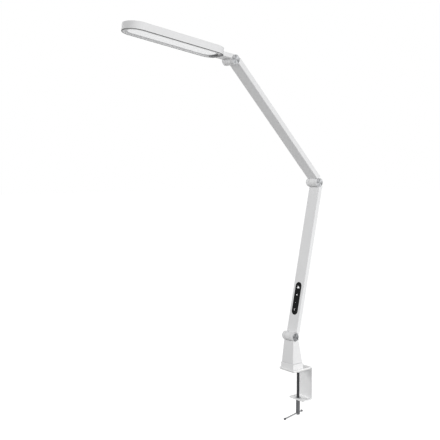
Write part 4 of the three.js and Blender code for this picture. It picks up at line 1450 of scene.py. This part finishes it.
@dataclass
class TouchPanel(Assembly):
    """The glossy touch strip on the lower arm and the plain marks printed on it.

    Attributes:
        face: The strip's face, from the hinge's axis, through the arm.
        print_height: How far the print stands off the face.
        through: How far the cutters reach from the hinge's axis.
        bar_corner: How far a bar's corners are rounded, as a share of its width.
        sun_spot: The lit mark's distance along the arm.
        sun_radius: The radius of its disc.
        rays: How many rays it has.
        ray: A ray's distance from its middle, its length and its width.
        rings: Each ring mark's name, distance along the arm, radius, dot's radius and finish.
        ring_width: How wide a ring's line is.
        switch_spot: The switch mark's distance along the arm.
        switch_radius: The radius of its ring.
        switch_width: How wide the ring's line is, and half the width of its gap.
        gap: Where the gap starts and ends, from the mark's middle.
        stroke: The stroke's distance from the middle, its length and its width.
    """

    eased: Eased = (("touch_panel", 0.2 * MM),)
    face: float = 1.25 * MM
    print_height: float = 0.05 * MM
    through: float = 3 * MM
    bar_corner: float = 0.3
    sun_spot: float = 125.8 * MM
    sun_radius: float = 1.5 * MM
    rays: int = 8
    ray: tuple[float, float, float] = (2.4 * MM, 0.9 * MM, 0.5 * MM)
    rings: tuple[tuple[str, float, float, float, Finish], ...] = (
        ("softer_light_mark", 106.9 * MM, 1.7 * MM, 0.9 * MM, SOFT_MARK),
        ("shade_of_white_mark", 87.0 * MM, 1.5 * MM, 0.0, FAINT_MARK),
    )
    ring_width: float = 0.38 * MM
    switch_spot: float = 68.6 * MM
    switch_radius: float = 2.7 * MM
    switch_width: float = 0.75 * MM
    gap: tuple[float, float] = (0.5 * MM, 4 * MM)
    stroke: tuple[float, float, float] = (1.9 * MM, 2.7 * MM, 0.7 * MM)

    def build(self) -> None:
        """Eases the strip and prints its marks."""
        super().build()
        self.print_mark(self.sun(), LIT_MARK)
        for name, along, radius, dot, finish in self.rings:
            mark = self.ring(name, along, radius, self.ring_width)
            if dot:
                mark.join([self.disc("dot", along, dot, sides=24)])
            self.print_mark(mark, finish)
        self.print_mark(self.switch(), PRINTED_MARK)

    def print_mark(self, mark: Bench, finish: Finish) -> None:
        """Takes a mark from the lower arm's own frame to its place on the strip.

        Args:
            mark: The bench that holds it.
            finish: Its finish.
        """
        start, end = joint_point("base_tilt"), joint_point("elbow")
        mark.settle(stand(start, math.atan2(end.x - start.x, end.z - start.z)))
        keep(mark, "lower_arm", finish)

    def disc(self, name: str, along: float, radius: float, sides: int = 40) -> Bench:
        """Lays a flat disc on the strip, so far along the arm."""
        outer = self.face - self.print_height
        return Bench.rod(name, radius, (outer, 0, along), (self.face, 0, along), sides)

    def ring(self, name: str, along: float, radius: float, width: float) -> Bench:
        """Lays a flat ring on the strip, so far along the arm."""
        hole = Bench.rod("hole", radius - width, (0, 0, along), (self.through, 0, along), sides=40)
        return self.disc(name, along, radius).cut(hole)

    def bar(self, name: str, along: float, length: float, width: float) -> Bench:
        """Lays a short upright bar on the strip.

        Args:
            name: The piece's name.
            along: Its middle's distance along the arm.
            length: Its length.
            width: Its width.

        Returns:
            A bench that holds it.
        """
        outer = self.face - self.print_height
        low, high = (outer, -width / 2, along - length / 2), (self.face, width / 2, along + length / 2)
        bar = Bench.block(name, low, high)
        bar.edit(Pick.EDGES, lambda e: abs(e.verts[0].co.x - e.verts[1].co.x) > self.print_height / 2)
        bar.bevel(width * self.bar_corner, segments=2).clear()
        return bar

    def sun(self) -> Bench:
        """Draws the lit mark: a disc with rays around it.

        Returns:
            A bench that holds it.
        """
        mark = self.disc("brighter_light_mark", self.sun_spot, self.sun_radius)
        ray = self.bar("ray", *self.ray)
        middle = Matrix.Translation((0, 0, self.sun_spot))
        turns = [Matrix.Rotation(step * math.tau / self.rays, 4, "X") for step in range(self.rays)]
        mark.join([ray.twin(f"ray_{step}").settle(middle @ turn) for step, turn in enumerate(turns)])
        ray.discard()
        return mark

    def switch(self) -> Bench:
        """Draws the common switch symbol: an open ring with a bar in the gap.

        Returns:
            A bench that holds it.
        """
        mark = self.ring("switch_mark", self.switch_spot, self.switch_radius, self.switch_width)
        low, high = (self.switch_spot + end for end in self.gap)
        mark.cut(Bench.block("gap", (0, -self.switch_width, low), (self.through, self.switch_width, high)))
        middle, length, width = self.stroke
        return mark.join([self.bar("stroke", self.switch_spot + middle, length, width)])


@dataclass
class Neck(Assembly):
    """The flat block between the head's tilt hinge and the head."""

    eased: Eased = (("neck", 0.5 * MM),)


@dataclass
class LampHead(Assembly):
    """The long round-ended head: its shell, the lower frame, the diffuser and what is inside.

    Attributes:
        width: The head's width.
        thickness: Its thickness.
        start: Where the shell starts, from the tilt hinge.
        far_end: Where it ends.
        flat_width: The width of the flat at the neck.
        rise: The middle's height above the neck's middle.
        neck_middle: The neck's middle, from the hinge's axis.
        wall: The shell's thickness.
        end_wall: Its thickness at the neck, where the spindle passes.
        bearing: The radius of the spindle's hole in it.
        crown: How far the upper edge is rounded.
        lip: How far the lower edge is rounded.
        steps: How many facets the two round ends have together.
        seal: The width of the painted shade along the lower edge: a dark band that stands for the shadowed lip
            under the rim.
        recess_end: How far the painted shade at the neck end of the window's frame reaches, from the hinge's axis.
        frame_edge: How far the edges of the window's frame are rounded.
    """

    eased: Eased = (("diffuser", 0.25 * MM),)
    kept: Names = ("reflector", "led_board", "heat_plate", "roll_spindle", "roll_washer", "roll_nut")
    width: float = 63.4 * MM
    thickness: float = 17.3 * MM
    start: float = 36.4 * MM
    far_end: float = 288.4 * MM
    flat_width: float = 35.6 * MM
    rise: float = 2.5 * MM
    neck_middle: float = 5.5 * MM
    wall: float = 1.6 * MM
    end_wall: float = 4 * MM
    bearing: float = 2.8 * MM
    crown: float = 1.3 * MM
    lip: float = 0.3 * MM
    steps: int = 128
    seal: float = 1.0 * MM
    recess_end: float = 50.5 * MM
    frame_edge: float = 0.4 * MM

    def place(self) -> Matrix:
        """The head's own frame, on the neck's middle line.

        Returns:
            The transform from it to the lamp's.
        """
        axis = Vector(joint("head_roll")["axis"])
        lean = math.atan2(axis.x, axis.z)
        hinge = stand(joint_point("head_tilt"), lean)
        return stand(hinge @ Vector((self.neck_middle, 0, 0)), lean)

    def build(self) -> None:
        """Draws the shell and eases the lower frame and the diffuser."""
        self.shell()
        self.frame_of_window()
        super().build()

    def drum(self, name: str, margin: float, flat_end: float, low: float, high: float) -> Bench:
        """Draws the head's outline, drawn in by a margin, as a block.

        Args:
            name: The piece's name.
            margin: How far its outline is drawn in.
            flat_end: Where its flat end lies, from the hinge's axis.
            low: Its lower face.
            high: Its upper face.

        Returns:
            A bench that holds it.
        """
        half_step = math.pi / self.steps
        end_flat = (self.width - math.sqrt(self.width**2 - self.flat_width**2)) / 2
        near_middle = self.start - end_flat + self.width / 2
        far_middle = self.far_end - self.width / 2
        Bench.clear()
        bpy.ops.mesh.primitive_cylinder_add(
            vertices=self.steps,
            radius=(self.width / 2 - margin) / math.cos(half_step),
            depth=high - low,
            rotation=(0, 0, half_step),
        )
        drum = Bench.start(name).settle(stand(((low + high) / 2, 0, far_middle), math.pi / 2))
        drum.edit(Pick.VERTS, lambda v: v.co.z < far_middle).move((0, 0, near_middle - far_middle))
        return drum.split((0, 0, flat_end), (0, 0, 1), use_fill=True, clear_inner=True)

    def shell(self) -> None:
        """Hollows a block from below, rounds its upper edge and paints a band of shade along its lower edge."""
        lower = self.rise - self.thickness / 2
        upper = lower + self.thickness
        shell = self.drum("head_shell", 0.0, self.start, lower, upper)
        inside = self.start + self.end_wall
        shell.cut(self.drum("cavity", self.wall, inside, lower - self.wall, upper - self.wall))
        ends = (0, 0, self.start - self.wall), (0, 0, inside + self.wall)
        shell.cut(Bench.rod("bearing", self.bearing, *ends, sides=32))
        shell.rim((1, 0, 0), upper).bevel(self.crown, segments=4)
        shell.rim((-1, 0, 0), -lower).bevel(self.lip, segments=2)
        # Painted shade: the faces below this line take the dark band.
        shade_line = lower + self.seal
        shell.split((shade_line, 0, 0), (1, 0, 0)).smooth(angle=32.0)
        shade_band_faces = [face.index for face in shell.piece.data.polygons if face.center.x < shade_line]
        tint(stand_in(shell.settle(self.place()), "head_housing"), RIM_SHADE, shade_band_faces)

    def frame_of_window(self) -> None:
        """Eases the frame around the window and paints shade on its end by the neck, where the recess under the
        neck is in shadow.
        """
        piece = refine("head_bezel", self.frame_edge)
        place = self.place()
        along = place.to_3x3() @ Vector((0, 0, 1))
        Bench(piece).split(place @ Vector((0, 0, self.recess_end)), along)
        inward = place.inverted()
        # Painted shade: these faces take the darker grey.
        dark = [face.index for face in piece.data.polygons if (inward @ face.center).z < self.recess_end]
        tint(piece, NECK_SHADE, dark)


# ---------- Studio ----------


@dataclass(frozen=True)
class View:
    """Where the camera stands and how it looks.

    Attributes:
        spot: Its place.
        yaw: Its heading from +X towards +Y, in degrees.
        pitch: How far it looks down, in degrees.
        roll: How far it is rolled, in degrees.
        lens: Its focal length, in millimetres.
        sensor: Its sensor's width, in millimetres.
        depth: The nearest and the farthest that it sees.
    """

    spot: Point = (-1.2773, -1.2857, 0.5208)
    yaw: float = 51.56
    pitch: float = 4.3
    roll: float = -0.18
    lens: float = 57.95
    sensor: float = 36.0
    depth: tuple[float, float] = (0.05, 60.0)

    def set_up(self) -> None:
        """Makes the camera and gives it to the scene."""
        yaw, pitch, roll = map(math.radians, (self.yaw, self.pitch, self.roll))
        ahead = Vector((math.cos(yaw) * math.cos(pitch), math.sin(yaw) * math.cos(pitch), -math.sin(pitch)))
        right = Vector((math.sin(yaw), -math.cos(yaw), 0))
        up = right.cross(ahead)
        turned_right = math.cos(roll) * right + math.sin(roll) * up
        turned_up = math.cos(roll) * up - math.sin(roll) * right
        turned = Matrix((turned_right, turned_up, -ahead)).transposed()
        data = bpy.data.cameras.new("camera")
        data.lens = self.lens
        data.sensor_width = self.sensor
        data.clip_start, data.clip_end = self.depth
        camera = bpy.data.objects.new("camera", data)
        camera.matrix_world = Matrix.Translation(self.spot) @ turned.to_4x4()
        bpy.context.scene.collection.objects.link(camera)
        bpy.context.scene.camera = camera


@dataclass(frozen=True)
class SoftLight:
    """A square soft light that looks at a point.

    Attributes:
        name: Its name.
        spot: Its place.
        aim: The point that it looks at.
        size: The side of its square.
        power: Its power in watts.
    """

    name: str
    spot: Point
    aim: Point
    size: float
    power: float

    def hang(self) -> None:
        """Hangs the light, unseen by itself."""
        data = bpy.data.lights.new(self.name, "AREA")
        data.shape = "SQUARE"
        data.size = self.size
        data.energy = self.power
        light = bpy.data.objects.new(self.name, data)
        light.location = self.spot
        light.rotation_euler = (Vector(self.aim) - Vector(self.spot)).to_track_quat("-Z", "Y").to_euler()
        light.visible_camera = light.visible_glossy = False
        bpy.context.scene.collection.objects.link(light)


@dataclass(frozen=True)
class Studio:
    """A plain pale room with soft light.

    Attributes:
        floor_level: The floor's height: that of a room whose desk carries the lamp.
        floor_size: The floor's side.
        floor_colour: How light the floor's own grey is.
        floor_lift: How much brighter the floor looks than it is lit.
        room_light: How bright the room is around the lamp.
        lights: The lamps.
    """

    floor_level: float = -0.75
    floor_size: float = 60.0
    floor_colour: float = 0.5
    floor_lift: float = 0.92
    room_light: float = 0.29
    lights: tuple[SoftLight, ...] = (
        SoftLight("key", (-1.1, -2.64, 1.1), (-0.05, 0.0, 0.35), 1.2, 44.0),
        SoftLight("rim", (-1.48, 2.47, 1.28), (-0.05, 0.0, 0.35), 1.2, 44.0),
        SoftLight("low", (0.7, -1.21, 0.05), (0.0, 0.0, 0.0), 0.6, 6.5),
    )

    def build(self) -> None:
        """Lays the floor, lights the room and hangs the lights."""
        bpy.context.scene.view_settings.view_transform = "Standard"
        self.lay_floor()
        self.light_room()
        for light in self.lights:
            light.hang()
            LOG.info("light %s, %.0f W", light.name, light.power)

    @staticmethod
    def seen_directly(graph: Graph) -> Socket:
        """A mask that is 1 where a surface is seen by the camera, in a mirror or through glass.

        Args:
            graph: The graph of the surface.

        Returns:
            The mask.
        """
        path = graph.add("LightPath").outputs
        seen = graph.maths("ADD", path["Is Camera Ray"], path["Is Glossy Ray"])
        seen = graph.maths("ADD", seen, path["Is Transmission Ray"])
        return graph.maths("MINIMUM", seen, 1.0)

    def lay_floor(self) -> None:
        """Lays a plain white floor that keeps the lamp's shadow."""
        Bench.clear()
        bpy.ops.mesh.primitive_plane_add(size=self.floor_size, location=(0, 0, self.floor_level))
        floor = Bench.start("floor").piece
        shader = Shader("floor")
        lift = shader.maths("MULTIPLY", self.seen_directly(shader), self.floor_lift)
        shader.set(Base_Color=(self.floor_colour,) * 3, Roughness=0.9, Specular_IOR_Level=0.0)
        shader.set(Emission_Color=(1.0, 1.0, 1.0), Emission_Strength=lift)
        shader.material.cycles.emission_sampling = "NONE"
        floor.data.materials.append(shader.material)

    def light_room(self) -> None:
        """Makes the room white to look at and dimmer as a light."""
        world = bpy.data.worlds.new("room")
        bpy.context.scene.world = world
        world.use_nodes = True
        graph = Graph(world.node_tree)
        backdrop = graph.tree.nodes["Background"].inputs
        graph.feed(backdrop["Color"], (1.0, 1.0, 1.0))
        graph.feed(backdrop["Strength"], graph.between(self.seen_directly(graph), self.room_light, 1.0))


def main() -> None:
    """Builds the lamp and its studio, and reports each piece."""
    logging.basicConfig(level=logging.INFO, format="%(name)s %(message)s")
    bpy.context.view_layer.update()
    View().set_up()
    Studio().build()
    assemblies: tuple[Assembly, ...] = (
        DeskClamp(),
        ClampScrew(),
        Base(),
        HingeCores(),
        HingeCaps(),
        Arms(),
        ArmScrews(),
        TouchPanel(),
        Neck(),
        LampHead(),
    )
    for assembly in assemblies:
        assembly.build()
        assembly.dress()
        LOG.info("%s done", type(assembly).__name__)


if __name__ == "__main__":
    main()
